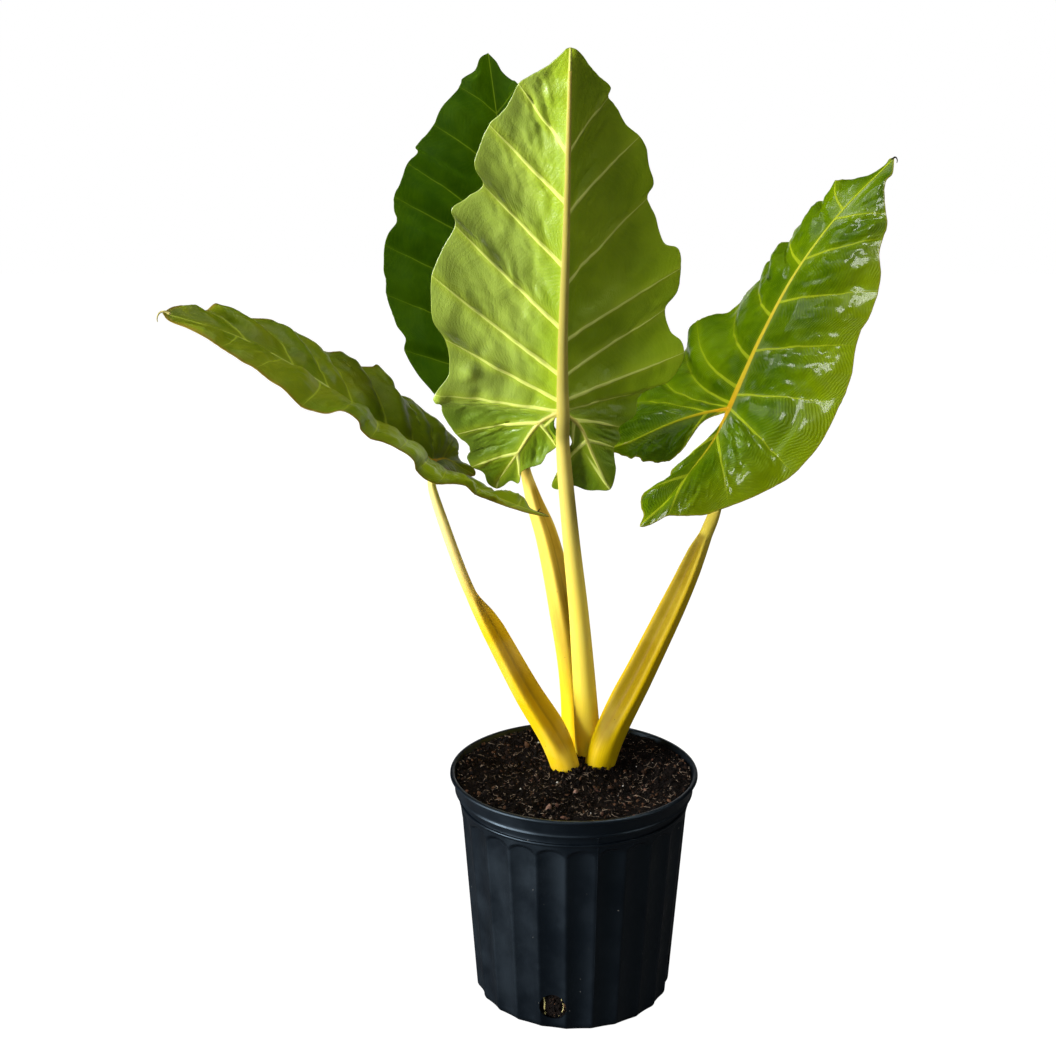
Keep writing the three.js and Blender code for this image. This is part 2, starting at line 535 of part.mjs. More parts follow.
// A stalk and the keel it goes on with under the midrib. grow widens it, to cut room for it in its neighbours.
function buildStalk(name, grow) {
  const stalk = stalks[name];
  const leaf = leaves[name];
  const midrib = spline(leaf.midrib.map(vec));
  const stem = stalk.path.map((p) => ({ at: vec(p), wide: p[3] }));
  const keel = stalk.keel.map((wide, i) => {
    const start = keelStarts[i];
    const lift = bladeThickness / 2 + keelGap + 0.62 * wide + (start === 1 ? junctionDrop : 0);
    const under = leafUp(leaf, Math.min(start, 0.9)).multiplyScalar(-lift);
    return { at: midrib.getPoint(start).add(under), wide };
  });
  const knots = [...stem, ...keel];
  const curve = new THREE.CatmullRomCurve3(knots.map((k) => k.at)); // centripetal: the knots are uneven
  const rows = (knots.length - 1) * 3;
  const rings = [];
  for (let i = 0; i <= rows; i++) {
    const share = i / rows;
    const knot = Math.min(knots.length - 2, Math.floor(share * (knots.length - 1)));
    const wide = lerp(knots[knot].wide, knots[knot + 1].wide, share * (knots.length - 1) - knot);
    const stemShare = (share * (knots.length - 1)) / (stem.length - 1); // 1 where the keel begins
    const wing = stalk.wing * (1 - smoothstep(stemShare, stalk.sheath - 0.2, stalk.sheath));
    const flat = lerp(1, 0.62, smoothstep(stemShare, 0.9, 1.05));
    const along = curve.getTangent(share);
    const keelShare = Math.max(0, share * (knots.length - 1) - stem.length) / (keel.length - 1);
    const up = leafUp(leaf, lerp(0.9, 0.06, keelShare));
    const upward = up.addScaledVector(along, -up.dot(along)).normalize();
    const sideways = new THREE.Vector3().crossVectors(along, upward);
    rings.push(
      Array.from({ length: stalkSides }, (_, j) => {
        const angle = ((j + 0.5) / stalkSides) * 2 * Math.PI - Math.PI;
        const r = stalkSection(wide, wing, angle) + grow;
        const lifted = r * Math.cos(angle) * (Math.cos(angle) > 0 ? flat : 1);
        return curve
          .getPoint(share)
          .addScaledVector(upward, lifted)
          .addScaledVector(sideways, r * Math.sin(angle));
      }),
    );
  }
  for (const p of rings[0]) p.z = corm.top + (grow ? 0 : clearance); // it stands flat on the rootstock
  return toSolid(ringSkin(rings));
}

const colours = {
  pot: 0x16191d,
  soil: 0x2a1c12,
  corm: 0x8a6a3c,
  stalk: 0xe3c95a,
  blade: { front: 0x7c9c12, back: 0x2c4a12, left: 0x46601c, right: 0x4f8a1c },
};
const part = new THREE.Group();
part.name = "potted_giant_taro";
function addPiece(name, solid, color, roughness) {
  const mesh = new THREE.Mesh(toGeometry(solid), new THREE.MeshStandardMaterial({ color, roughness }));
  mesh.name = name;
  part.add(mesh);
}

addPiece("pot", buildPot(), colours.pot, 0.5);

const cuts = [];
for (const name of ["right", "left", "front", "back"]) {
  let stalk = buildStalk(name, 0);
  for (const cut of cuts) stalk = stalk.subtract(cut);
  addPiece("stalk_" + name, stalk, colours.stalk, 0.45);
  const around = buildStalk(name, clearance);
  const blade = buildBlade(leaves[name], bladeThickness).subtract(around);
  addPiece("blade_" + name, blade, colours.blade[name], 0.35);
  cuts.push(around);
}
addPiece("rootstock", buildCorm(0), colours.corm, 0.8);
addPiece("soil", buildSoil([...cuts, buildCorm(clearance)]), colours.soil, 0.95);

export default part;
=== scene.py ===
import math
import bpy
import numpy as np
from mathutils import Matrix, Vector


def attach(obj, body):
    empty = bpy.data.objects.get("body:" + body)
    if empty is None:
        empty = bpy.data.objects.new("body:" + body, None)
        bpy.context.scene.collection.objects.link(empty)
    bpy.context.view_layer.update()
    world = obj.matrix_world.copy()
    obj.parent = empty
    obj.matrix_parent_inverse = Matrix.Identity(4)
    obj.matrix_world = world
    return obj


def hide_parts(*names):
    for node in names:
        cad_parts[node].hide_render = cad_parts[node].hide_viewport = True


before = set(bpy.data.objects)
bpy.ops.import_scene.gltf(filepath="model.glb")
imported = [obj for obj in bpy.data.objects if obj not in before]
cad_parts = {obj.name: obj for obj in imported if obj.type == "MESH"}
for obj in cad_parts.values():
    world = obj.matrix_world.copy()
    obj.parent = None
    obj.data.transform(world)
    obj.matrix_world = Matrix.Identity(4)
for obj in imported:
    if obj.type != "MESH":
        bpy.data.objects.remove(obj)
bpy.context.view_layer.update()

print("frame loaded")

# Shapes are worked out in millimetres and put into the meshes in metres.
metre = 1000


# Eases from 0 at low to 1 at high, flat at both ends.
def smoothstep(x, low, high):
    t = np.clip((np.asarray(x, float) - low) / (high - low), 0, 1)
    return t * t * (3 - 2 * t)


def mix(a, b, share):
    return a + (b - a) * share


def unit(v):
    return v / np.maximum(np.linalg.norm(v, axis=-1, keepdims=True), 1e-9)


# So many angles evenly round a turn, from 0.
def roundTurn(count):
    return np.arange(count) / count * 2 * np.pi


# Random numbers on a square lattice, blended between its corners by smooth steps; -1 to 1.
def latticeNoise(x, y, seed, size=64):
    table = np.random.default_rng(seed).uniform(-1, 1, (size, size))
    i, j = np.floor(x).astype(int), np.floor(y).astype(int)
    s, t = smoothstep(x - i, 0, 1), smoothstep(y - j, 0, 1)

    def at(di, dj):
        return table[(i + di) % size, (j + dj) % size]

    return mix(mix(at(0, 0), at(1, 0), s), mix(at(0, 1), at(1, 1), s), t)


# A cubic through all the points, the slope at each one half the chord between its neighbours. Uneven takes
# the root of the distances into account, for points that stand close together in places.
def curvePoint(points, share, uneven=False):
    points = np.asarray(points, float)
    place = np.clip(share, 0, 1) * (len(points) - 1)
    low = np.minimum(np.floor(place).astype(int), len(points) - 2)
    w = (place - low)[..., None]
    padded = np.vstack([2 * points[0] - points[1], points, 2 * points[-1] - points[-2]])
    a, b, c, d = (padded[low + i] for i in range(4))
    leave, arrive = (c - a) / 2, (d - b) / 2
    if uneven:
        ab, bc, cd = (np.sqrt(np.maximum(np.linalg.norm(q - p, axis=-1, keepdims=True), 1e-6))
                      for p, q in ((a, b), (b, c), (c, d)))
        leave = ((b - a) / ab - (c - a) / (ab + bc) + (c - b) / bc) * bc
        arrive = ((c - b) / bc - (d - b) / (bc + cd) + (d - c) / cd) * bc
    cubic, square = 2 * b - 2 * c + leave + arrive, 3 * c - 3 * b - 2 * leave - arrive
    return cubic * w**3 + square * w**2 + leave * w + b


# How far along a row of points each of them lies.
def lengthAlong(points):
    return np.concatenate([[0], np.cumsum(np.linalg.norm(np.diff(points, axis=0), axis=1))])


# Normals of the points of a triangle mesh: the sum of the faces' own, each weighed by its area.
def pointNormals(points, triangles):
    a, b, c = (points[triangles[:, i]] for i in range(3))
    across = np.cross(b - a, c - a)
    total = np.zeros_like(points)
    for i in range(3):
        for axis in range(3):
            total[:, axis] += np.bincount(triangles[:, i], across[:, axis], len(points))
    return unit(total)


# Puts a mesh into the scene. maps holds UV coordinates for the corners, tone one number for each point.
def addPiece(name, points, faces, materials, replaced=(), slotName=None, faceMaterial=None, maps=None,
             tone=None):
    mesh = bpy.data.meshes.new(name)
    mesh.from_pydata(np.asarray(points) / metre, [], np.asarray(faces).tolist())
    for key, corners in (maps or {}).items():
        layer = mesh.uv_layers.new(name=key)
        layer.uv.foreach_set("vector", np.asarray(corners, np.float32).ravel())
    if tone is not None:
        layer = mesh.attributes.new("tone", "FLOAT", "POINT")
        layer.data.foreach_set("value", np.asarray(tone, np.float32))
    for material in materials:
        mesh.materials.append(material)
    if faceMaterial is not None:
        mesh.polygons.foreach_set("material_index", np.asarray(faceMaterial, np.int32))
    mesh.polygons.foreach_set("use_smooth", np.ones(len(mesh.polygons), bool))
    mesh.update()
    piece = addObject(name, mesh)
    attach(piece, "root")
    if replaced:
        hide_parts(*replaced)
    print(name + ":", len(faces), "faces")
    return piece


def addObject(name, data, place=(0, 0, 0), turn=(0, 0, 0)):
    thing = bpy.data.objects.new(name, data)
    thing.location, thing.rotation_euler = place, turn
    bpy.context.collection.objects.link(thing)
    return thing


# Triangles of a closed skin over rings with the same number of points, with a fan over both ends, and for
# each corner its ring and its step round it. The points are the rings, then the middles of the first and
# the last.
def ringSkin(rings):
    count, around = rings.shape[:2]
    i, j = (k.ravel() for k in np.meshgrid(np.arange(count - 1), np.arange(around), indexing="ij"))
    row = np.concatenate([np.stack([i, i, i + 1], -1), np.stack([i, i + 1, i + 1], -1)])
    turn = np.concatenate([np.stack([j, j + 1, j + 1], -1), np.stack([j, j + 1, j], -1)])
    faces = row * around + turn % around
    j = np.arange(around)
    first, last = np.full(around, count * around), np.full(around, count * around + 1)
    low = np.stack([first, (j + 1) % around, j], -1)
    high = np.stack([last, (count - 1) * around + j, (count - 1) * around + (j + 1) % around], -1)
    points = np.vstack([rings.reshape(-1, 3), rings[0].mean(0), rings[-1].mean(0)])
    faces = np.vstack([faces, low, high])
    rows = np.vstack([row, np.zeros((around, 3), int), np.full((around, 3), count - 1)])
    turns = np.vstack([turn, np.stack([j, j + 1, j], -1), np.stack([j, j, j + 1], -1)])
    a, b, c = (points[faces[:, k]] for k in range(3))
    if (a * np.cross(b, c)).sum() < 0:
        faces, rows, turns = (k[:, ::-1] for k in (faces, rows, turns))
    return points, faces, rows.ravel(), turns.ravel()


# A tube with a round section along a curve: the ring at each step is square to the curve.
def tube(path, startRadius, endRadius, steps, around=8):
    share = np.linspace(0, 1, steps + 1)
    centre = curvePoint(path, share)
    along = unit(np.gradient(centre, axis=0))
    aside = unit(np.cross(along, [.31, .17, .93]))
    angle = roundTurn(around)
    radius = mix(startRadius, endRadius, share)[:, None, None]
    across, upright = np.cos(angle)[None, :, None], np.sin(angle)[None, :, None]
    ring = across * aside[:, None] + upright * np.cross(along, aside)[:, None]
    return ringSkin(centre[:, None] + radius * ring)[:2]


# Several meshes as one.
def joinMeshes(parts):
    first = np.cumsum([0] + [len(p) for p, _ in parts])
    return np.vstack([p for p, _ in parts]), np.vstack([f + k for (_, f), k in zip(parts, first)])


# A colour as read off a screen, 0 to 255, in the linear numbers that shaders take.
def screenColor(color):
    c = np.array(color) / 255
    linear = np.where(c < .04045, c / 12.92, ((c + .055) / 1.055) ** 2.4)
    return (*[float(x) for x in linear], 1.0)


# Feeds an input with a signal or with a plain value. Three numbers for a colour are taken as read off a
# screen.
def feed(tree, socket, value):
    if isinstance(value, Signal):
        tree.links.new(value.socket, socket)
    elif socket.type == "RGBA" and len(value) == 3:
        socket.default_value = screenColor(value)
    else:
        socket.default_value = value


# A node of a shader tree, given its inputs and options by name: node["Color"] is what it puts out there.
class Node:
    def __init__(self, tree, kind, inputs=None, **options):
        kind = kind if kind.startswith("Node") else "ShaderNode" + kind
        self.tree, self.node = tree, tree.nodes.new(kind)
        for key, value in options.items():
            setattr(self.node, key, value)
        for key, value in (inputs or {}).items():
            feed(tree, self.node.inputs[key], value)

    def __getitem__(self, key):
        return Signal(self.tree, self.node.outputs[key])


# What a node puts out. Sums, products and the like of signals add the nodes that work them out.
class Signal:
    def __init__(self, tree, socket):
        self.tree, self.socket = tree, socket

    def maths(self, operation, *values):
        return Node(self.tree, "Math", dict(enumerate(values)), operation=operation)[0]

    def __add__(self, other):
        return self.maths("ADD", self, other)

    def __sub__(self, other):
        return self.maths("SUBTRACT", self, other)

    def __rsub__(self, other):
        return self.maths("SUBTRACT", other, self)

    def __mul__(self, other):
        return self.maths("MULTIPLY", self, other)

    def __truediv__(self, other):
        return self.maths("DIVIDE", self, other)

    def __abs__(self):
        return self.maths("ABSOLUTE", self)

    def lowest(self, other):
        return self.maths("MINIMUM", self, other)

    def highest(self, other):
        return self.maths("MAXIMUM", self, other)

    # Smoothly from one range to another.
    def ease(self, low, high, start=0.0, end=1.0):
        ranges = {"Value": self, "From Min": low, "From Max": high, "To Min": start, "To Max": end}
        return Node(self.tree, "MapRange", ranges, interpolation_type="SMOOTHSTEP")["Result"]

    # The first colour where this signal is 0, the second where it is 1.
    def blend(self, first, second):
        return Node(self.tree, "Mix", {0: self, 6: first, 7: second}, data_type="RGBA")[2]


# The numbers of a UV map.
def uvMap(tree, name):
    corner = Node(tree, "UVMap", uv_map=name)[0]
    return Node(tree, "SeparateXYZ", {0: corner})


# Places on the piece, in metres from its origin.
def ownPlace(tree):
    return Node(tree, "TexCoord")["Object"]


# Noise on the piece's own coordinates, in cells to the metre; stretch squeezes it along an axis.
def noise(tree, scale, detail, rough, stretch=(1, 1, 1), place=None):
    squeezed = {"Vector": place or ownPlace(tree), "Scale": [scale * s for s in stretch]}
    where = Node(tree, "Mapping", squeezed)[0]
    return Node(tree, "TexNoise", {"Vector": where, "Scale": 1, "Detail": detail, "Roughness": rough})[0]


# Relief from heights in millimetres.
def bump(tree, height, strength=1.0):
    return Node(tree, "Bump", {"Strength": strength, "Distance": 1 / metre, "Height": height})[0]


def startMaterial(name):
    material = bpy.data.materials.new(name)
    material.use_nodes = True
    return material, material.node_tree


# Feeds the material's shader with signals and plain values.
def endMaterial(material, values):
    shader = material.node_tree.nodes["Principled BSDF"]
    for key, value in values.items():
        feed(material.node_tree, shader.inputs[key], value)
    return material


# Places a node group in a tree.
def useGroup(tree, group, inputs):
    return Node(tree, "Group", inputs, node_tree=group)


# A node group under work and its inputs. Four numbers are a colour.
def startGroup(name, inputs):
    tree = bpy.data.node_groups.new(name, "ShaderNodeTree")
    for key, value in inputs.items():
        kind = "NodeSocketColor" if isinstance(value, tuple) else "NodeSocketFloat"
        tree.interface.new_socket(name=key, in_out="INPUT", socket_type=kind).default_value = value
    return tree, Node(tree, "NodeGroupInput")


def endGroup(tree, outputs):
    for key in outputs:
        kind = "NodeSocketColor" if key == "Color" else "NodeSocketFloat"
        tree.interface.new_socket(name=key, in_out="OUTPUT", socket_type=kind)
    Node(tree, "NodeGroupOutput", outputs)
    return tree


grey = (.5, .5, .5, 1)


# Two finishes mixed by noise, in patches of one size with finer flecks over them.
def buildMottle():
    tree, given = startGroup("mottle", {"Color A": grey, "Color B": grey, "Scale": 40.0, "Balance": .5})
    where = ownPlace(tree)
    patches, flecks = (Node(tree, "TexNoise", {"Vector": where, "Scale": given["Scale"] * times,
                                               "Detail": detail, "Roughness": .55})[0]
                       for times, detail in ((1.0, 4.0), (5.5, 3.0)))
    mask = (patches * .7 + flecks * .3).ease(given["Balance"] - .16, given["Balance"] + .16)
    return endGroup(tree, {"Color": mask.blend(given["Color A"], given["Color B"]), "Mask": mask})


# Veins over a blade, from distances in millimetres: a light zone beside each vein, the vein and the rib
# over it, and a thin line along the margin.
def buildVeinPattern():
    tree, given = startGroup(
        "veinPattern",
        {"Vein Distance": 0.0, "Vein Width": 1.0, "Rib Distance": 0.0, "Rib Width": 1.0,
         "Edge Distance": 9.0, "Lamina": (.1, .3, .0, 1), "Halo": (.2, .4, .0, 1), "Vein": (.4, .5, .1, 1),
         "Rib": (.6, .5, .1, 1), "Margin": (.3, .4, .1, 1), "Halo Reach": 9.0, "Halo Amount": .5,
         "Vein Amount": 1.0, "Margin Reach": .8, "Margin Amount": .5, "Rib Thin": .6, "Rib Thick": 1.8})
    nearest = given["Vein Distance"].lowest(given["Rib Distance"])
    halo = nearest.ease(given["Halo Reach"], 0.0) * given["Halo Amount"]
    color = halo.blend(given["Lamina"], given["Halo"])
    veinMask = (given["Vein Distance"] / given["Vein Width"]).ease(1.3, .8) * given["Vein Amount"]
    color = veinMask.blend(color, given["Vein"])
    ribMask = (given["Rib Distance"] / given["Rib Width"]).ease(1.3, .75)
    thick = given["Rib Width"].ease(given["Rib Thin"], given["Rib Thick"])
    color = ribMask.blend(color, thick.blend(given["Vein"], given["Rib"]))
    edge = given["Edge Distance"].ease(given["Margin Reach"], .2) * given["Margin Amount"]
    return endGroup(tree, {"Color": edge.blend(color, given["Margin"]), "Mask": veinMask.highest(ribMask)})


# Fine veins across a blade: lines that follow the margin and slant off the side veins, broken up by
# noise, and a net of small cells between them. Heights are in millimetres, the cells stand up.
def buildFineVeins():
    tree, given = startGroup("fineVeins", {
        "Inward": 0.0, "Vein Distance": 0.0, "Spacing": 4.5, "Slant": .45, "Line Height": .12,
        "Net Height": .05, "Net Scale": 420.0})
    where = ownPlace(tree)
    warp = Node(tree, "TexNoise", {"Vector": where, "Scale": 55, "Detail": 2})[0]
    across = (given["Inward"] + given["Vein Distance"] * given["Slant"]) / given["Spacing"] + warp * 2.0
    saw = abs(across.maths("FRACT", across) - .5) * 2
    strength = Node(tree, "TexNoise", {"Vector": where, "Scale": 24})[0].ease(.3, .62, .25, 1.0)
    net = {"Vector": where, "Scale": given["Net Scale"]}
    cells = Node(tree, "TexVoronoi", net, feature="DISTANCE_TO_EDGE")["Distance"].ease(0.0, .22)
    height = (1.0 - saw) * given["Line Height"] * strength + cells * given["Net Height"]
    return endGroup(tree, {"Height": height, "Lines": saw.ease(.62, .98) * strength})


# Scattered specks: the middles of a few random cells. Amount is the share of cells that hold one.
def buildSpecks():
    tree, given = startGroup("specks", {"Color": grey, "Speck Color": (.8, .8, .8, 1), "Scale": 300.0,
                                        "Size": .2, "Amount": .1})
    cells = Node(tree, "TexVoronoi", {"Vector": ownPlace(tree), "Scale": given["Scale"]})
    chance = Node(tree, "SeparateColor", {0: cells["Color"]})
    size = given["Size"] * (chance[1] + .4)
    chosen = chance[0].maths("LESS_THAN", chance[0], given["Amount"])
    mask = cells["Distance"].ease(size, size * .6) * chosen
    return endGroup(tree, {"Color": mask.blend(given["Color"], given["Speck Color"]), "Mask": mask})


mottle, veinPattern, fineVeins, specks = buildMottle(), buildVeinPattern(), buildFineVeins(), buildSpecks()
print("shader groups ready")


# Each blade hangs on a midrib, tip first, and on two ribs that run into its basal lobes, in millimetres.
# An edge point is [start, x, y, z]: the vein to it starts on the midrib at 0 (tip) to 1 (stalk), or on
# the rib at 1 to 2. Sinus is the notch's end, between the lobes.
leafRows = {
    "front": {
        "midrib": [[-12, -158, 956], [-13, -132, 880], [-14, -106, 802], [-16, -78, 709], [-16, -54, 629]],
        "sinus": [-18, -52, 624],
        "right": {"rib": [[-38, -48, 615], [-58, -34, 583], [-77, -14, 552]], "edge": [
            [.02, -15.7, -158, 954.8], [.05, -19, -156, 951.5], [.12, -30, -152, 942],
            [.2, -43, -148, 934], [.284, -55, -144, 927], [.32, -60, -141, 917], [.36, -67, -137, 905],
            [.427, -80, -131, 893], [.49, -88, -125, 875], [.53, -93, -120, 858], [.592, -86, -116, 842],
            [.66, -101, -111, 830], [.7, -114, -108, 820], [.747, -111, -106, 806], [.81, -124, -100, 782],
            [.887, -133, -94, 761], [.93, -134, -87, 738], [.955, -133, -81, 718], [.97, -123, -77, 701],
            [.98, -119, -71, 682], [.985, -121, -65, 664], [1, -134, -60, 647], [1.07, -134, -57, 639],
            [1.13, -128, -55, 635], [1.2, -127, -52, 626], [1.3, -115, -45, 605], [1.42, -105, -40, 595],
            [1.5, -102, -37, 587], [1.58, -105, -35, 581], [1.65, -101, -33, 571], [1.8, -90, -26, 563],
            [1.9, -86, -19, 551], [2, -78, -12, 544], [1.9, -71, -14, 547], [1.8, -64, -18, 553],
            [1.7, -56, -20, 551], [1.6, -53, -26, 564], [1.5, -45, -30, 569], [1.4, -35, -33, 573],
            [1.35, -29, -38, 584], [1.3, -20, -41, 592], [1.2, -18, -44, 599], [1.1, -23, -47, 606],
            [1.05, -27, -49, 613], [1.02, -24, -51, 621]]},
        "left": {"rib": [[2, -47, 613], [15, -34, 582], [29, -20, 550]], "edge": [
            [.03, -7, -157, 954.4], [.07, -1.5, -150, 949.5], [.12, 5, -142, 941], [.19, 14, -132, 932],
            [.25, 23, -124, 924], [.289, 21, -121, 916], [.36, 29, -112, 907], [.41, 37, -103, 893],
            [.463, 50, -94, 882], [.5, 57, -87, 871], [.53, 60, -80, 857], [.58, 65, -70, 840],
            [.64, 60, -66, 827], [.7, 69, -57, 808], [.74, 77, -48, 785], [.765, 91, -43, 779],
            [.785, 94, -38, 761], [.84, 92, -32, 738], [.895, 81, -28, 722], [.93, 87, -24, 700],
            [.95, 97, -21, 691], [.97, 101, -19, 679], [.985, 98, -17, 666], [.992, 87, -16, 650],
            [1, 69, -15, 643], [1.05, 58, -15, 634], [1.12, 56, -15, 617], [1.22, 41, -16, 606],
            [1.35, 42, -16, 594], [1.5, 36, -17, 586], [1.65, 37, -17, 572], [1.8, 38, -17, 563],
            [2, 33, -18, 545], [1.9, 20, -19, 544], [1.8, 10, -20, 544], [1.7, -3, -22, 549],
            [1.6, -13, -24, 546], [1.55, -24, -26, 549], [1.5, -21, -28, 560], [1.4, -14, -32, 575],
            [1.3, -7, -37, 586], [1.2, -5, -41, 595], [1.1, -8, -45, 605], [1.03, -13, -50, 618]]}},
    "back": {
        "midrib": [[-90, 275, 952], [-78, 239, 865], [-72, 196, 778], [-66, 150, 694], [-60, 97, 615]],
        "sinus": [-60, 92, 606],
        "right": {"rib": [[-49, 96, 595], [-38, 90, 569]], "edge": [
            [.03, -81, 274, 943], [.08, -75, 272, 933], [.12, -65, 271, 924], [.18, -58, 270, 920],
            [.26, -42, 266, 899], [.36, -17, 260, 862], [.45, -1, 252, 822], [.55, 12, 243, 784],
            [.63, 20, 232, 742], [.72, 27, 219, 706], [.79, 27, 200, 671], [.86, 19, 182, 641],
            [.93, 6, 165, 620], [.98, -9, 148, 607], [1.1, -25, 130, 598], [1.4, -29, 110, 582],
            [2, -34, 92, 558], [1.6, -45, 90, 569], [1.25, -54, 92, 590]]},
        "left": {"rib": [[-75, 76, 597], [-86, 48, 572]], "edge": [
            [.04, -98, 264, 947], [.1, -104, 250, 934], [.14, -116, 238, 926], [.18, -119, 228, 918],
            [.25, -130, 209, 905], [.31, -138, 198, 896], [.36, -144, 181, 881], [.43, -162, 163, 860],
            [.47, -160, 155, 854], [.52, -169, 144, 844], [.56, -175, 126, 828], [.6, -181, 116, 813],
            [.64, -181, 106, 800], [.665, -178, 99, 790], [.69, -185, 89, 781], [.73, -189, 81, 768],
            [.77, -190, 68, 748], [.81, -187, 61, 736], [.85, -186, 54, 723], [.89, -181, 46, 708],
            [.92, -175, 37, 694], [.945, -167, 31, 684], [.96, -167, 24, 673], [.98, -156, 16, 653],
            [1, -140, 12, 634], [1.3, -121, 14, 610], [1.7, -104, 22, 585], [2, -87, 36, 564],
            [1.6, -73, 54, 570], [1.25, -64, 76, 588]]}},
    "left": {
        "midrib": [[-391, -19, 716], [-325, -3, 691], [-259, 14, 650], [-208, 29, 609], [-143, 50, 556]],
        "sinus": [-135, 49, 551],
        "right": {"rib": [[-131, 86, 550], [-112, 114, 531]], "edge": [
            [.05, -384, -8, 720], [.12, -376, 4, 718], [.2, -368, 14, 714], [.28, -359, 27, 712],
            [.33, -351, 36, 716], [.38, -341, 46, 706], [.44, -325, 62, 699], [.51, -303, 77, 694],
            [.58, -294, 84, 684], [.63, -283, 93, 679], [.7, -268, 104, 664], [.76, -253, 114, 655],
            [.8, -239, 121, 654], [.82, -235, 124, 645], [.835, -229, 126, 640], [.87, -213, 131, 637],
            [.9, -204, 132, 639], [.93, -198, 134, 631], [.95, -194, 135, 618], [.965, -187, 137, 607],
            [.98, -173, 139, 603], [1, -165, 140, 597], [1.1, -153, 140, 585], [1.2, -139, 139, 573],
            [1.35, -126, 136, 563], [1.45, -121, 134, 555], [1.55, -123, 132, 544], [1.65, -115, 130, 535],
            [1.8, -105, 127, 531], [2, -103, 121, 524], [1.8, -114, 100, 528], [1.5, -122, 80, 536],
            [1.2, -128, 63, 544]]},
        "left": {"rib": [[-104, 14, 540], [-65, 16, 522], [-35, 26, 508]], "edge": [
            [.03, -385, -24, 710], [.1, -367, -35, 704], [.18, -344, -47, 695], [.25, -332, -54, 689],
            [.33, -313, -62, 678], [.4, -299, -66, 672], [.46, -286, -70, 661], [.5, -273, -73, 653],
            [.54, -256, -75, 638], [.6, -241, -77, 632], [.64, -231, -78, 631], [.67, -218, -78, 634],
            [.71, -205, -78, 625], [.74, -202, -77, 616], [.77, -193, -77, 608], [.82, -181, -74, 603],
            [.88, -167, -70, 596], [.93, -155, -64, 584], [.97, -152, -61, 574], [1, -144, -57, 564],
            [1.1, -133, -54, 559], [1.2, -121, -48, 557], [1.32, -107, -40, 553], [1.42, -98, -31, 543],
            [1.6, -83, -17, 532], [1.75, -65, -2, 522], [1.9, -46, 13, 512], [2, -26, 30, 504],
            [1.9, -45, 40, 510], [1.8, -51, 46, 519], [1.6, -60, 49, 523], [1.45, -75, 49, 523],
            [1.3, -88, 49, 528], [1.2, -110, 49, 538], [1.1, -125, 49, 546]]}},
    "right": {
        "midrib": [[341, 223, 845], [280, 183, 792], [229, 140, 735], [188, 91, 675], [151, 30, 615]],
        "sinus": [147, 27, 611],
        "right": {"rib": [[133, -6, 591], [106, -56, 571], [72, -116, 550]], "edge": [
            [.05, 337, 208, 830], [.12, 329, 199, 823], [.2, 325, 188, 809], [.28, 325, 172, 791],
            [.36, 324, 160, 778], [.45, 319, 152, 768], [.5, 313, 138, 753], [.56, 313, 125, 736],
            [.62, 309, 112, 719], [.69, 298, 94, 696], [.75, 288, 84, 683], [.8, 282, 73, 670],
            [.87, 276, 56, 648], [.92, 269, 42, 632], [.955, 261, 30, 619], [.977, 247, 10, 599],
            [.988, 232, -9, 581], [1, 208, -30, 563], [1.08, 190, -44, 555], [1.16, 166, -64, 549],
            [1.28, 140, -84, 545], [1.38, 117, -100, 541], [1.5, 101, -112, 543], [1.6, 92, -117, 545],
            [1.7, 81, -122, 547], [1.8, 72, -128, 544], [1.9, 63, -134, 541], [2, 54, -138, 541],
            [1.93, 58, -124, 547], [1.86, 56, -110, 552], [1.76, 58, -99, 559], [1.65, 64, -90, 562],
            [1.55, 76, -76, 563], [1.46, 86, -64, 565], [1.4, 88, -55, 571], [1.33, 96, -44, 575],
            [1.25, 109, -29, 582], [1.15, 127, -6, 590], [1.05, 142, 15, 600]]},
        "left": {"rib": [[123, 31, 609], [93, 34, 598], [50, 38, 577]], "edge": [
            [.025, 336, 223, 844], [.05, 331, 224, 837], [.1, 315, 227, 826], [.16, 297, 229, 822],
            [.24, 282, 230, 821], [.29, 276, 231, 810], [.32, 273, 232, 799], [.36, 263, 232, 797],
            [.42, 254, 233, 781], [.47, 241, 233, 769], [.51, 240, 233, 757], [.55, 224, 232, 753],
            [.59, 224, 231, 740], [.63, 211, 230, 732], [.67, 210, 228, 721], [.74, 196, 225, 708],
            [.79, 187, 222, 699], [.83, 182, 219, 691], [.87, 169, 216, 681], [.9, 150, 213, 679],
            [.93, 136, 209, 673], [.955, 127, 205, 664], [.97, 126, 201, 653], [.985, 122, 196, 643],
            [.99, 107, 184, 632], [1, 91, 166, 622], [1.1, 76, 145, 613], [1.25, 63, 118, 603],
            [1.5, 49, 92, 592], [1.75, 36, 66, 581], [2, 30, 44, 570], [1.9, 44, 38, 567],
            [1.8, 56, 36, 563], [1.7, 62, 35, 565], [1.6, 71, 34, 560], [1.48, 85, 31, 559],
            [1.38, 97, 29, 565], [1.28, 107, 28, 574], [1.18, 113, 27, 585], [1.1, 120, 27, 597],
            [1.05, 131, 28, 605]]}},
}

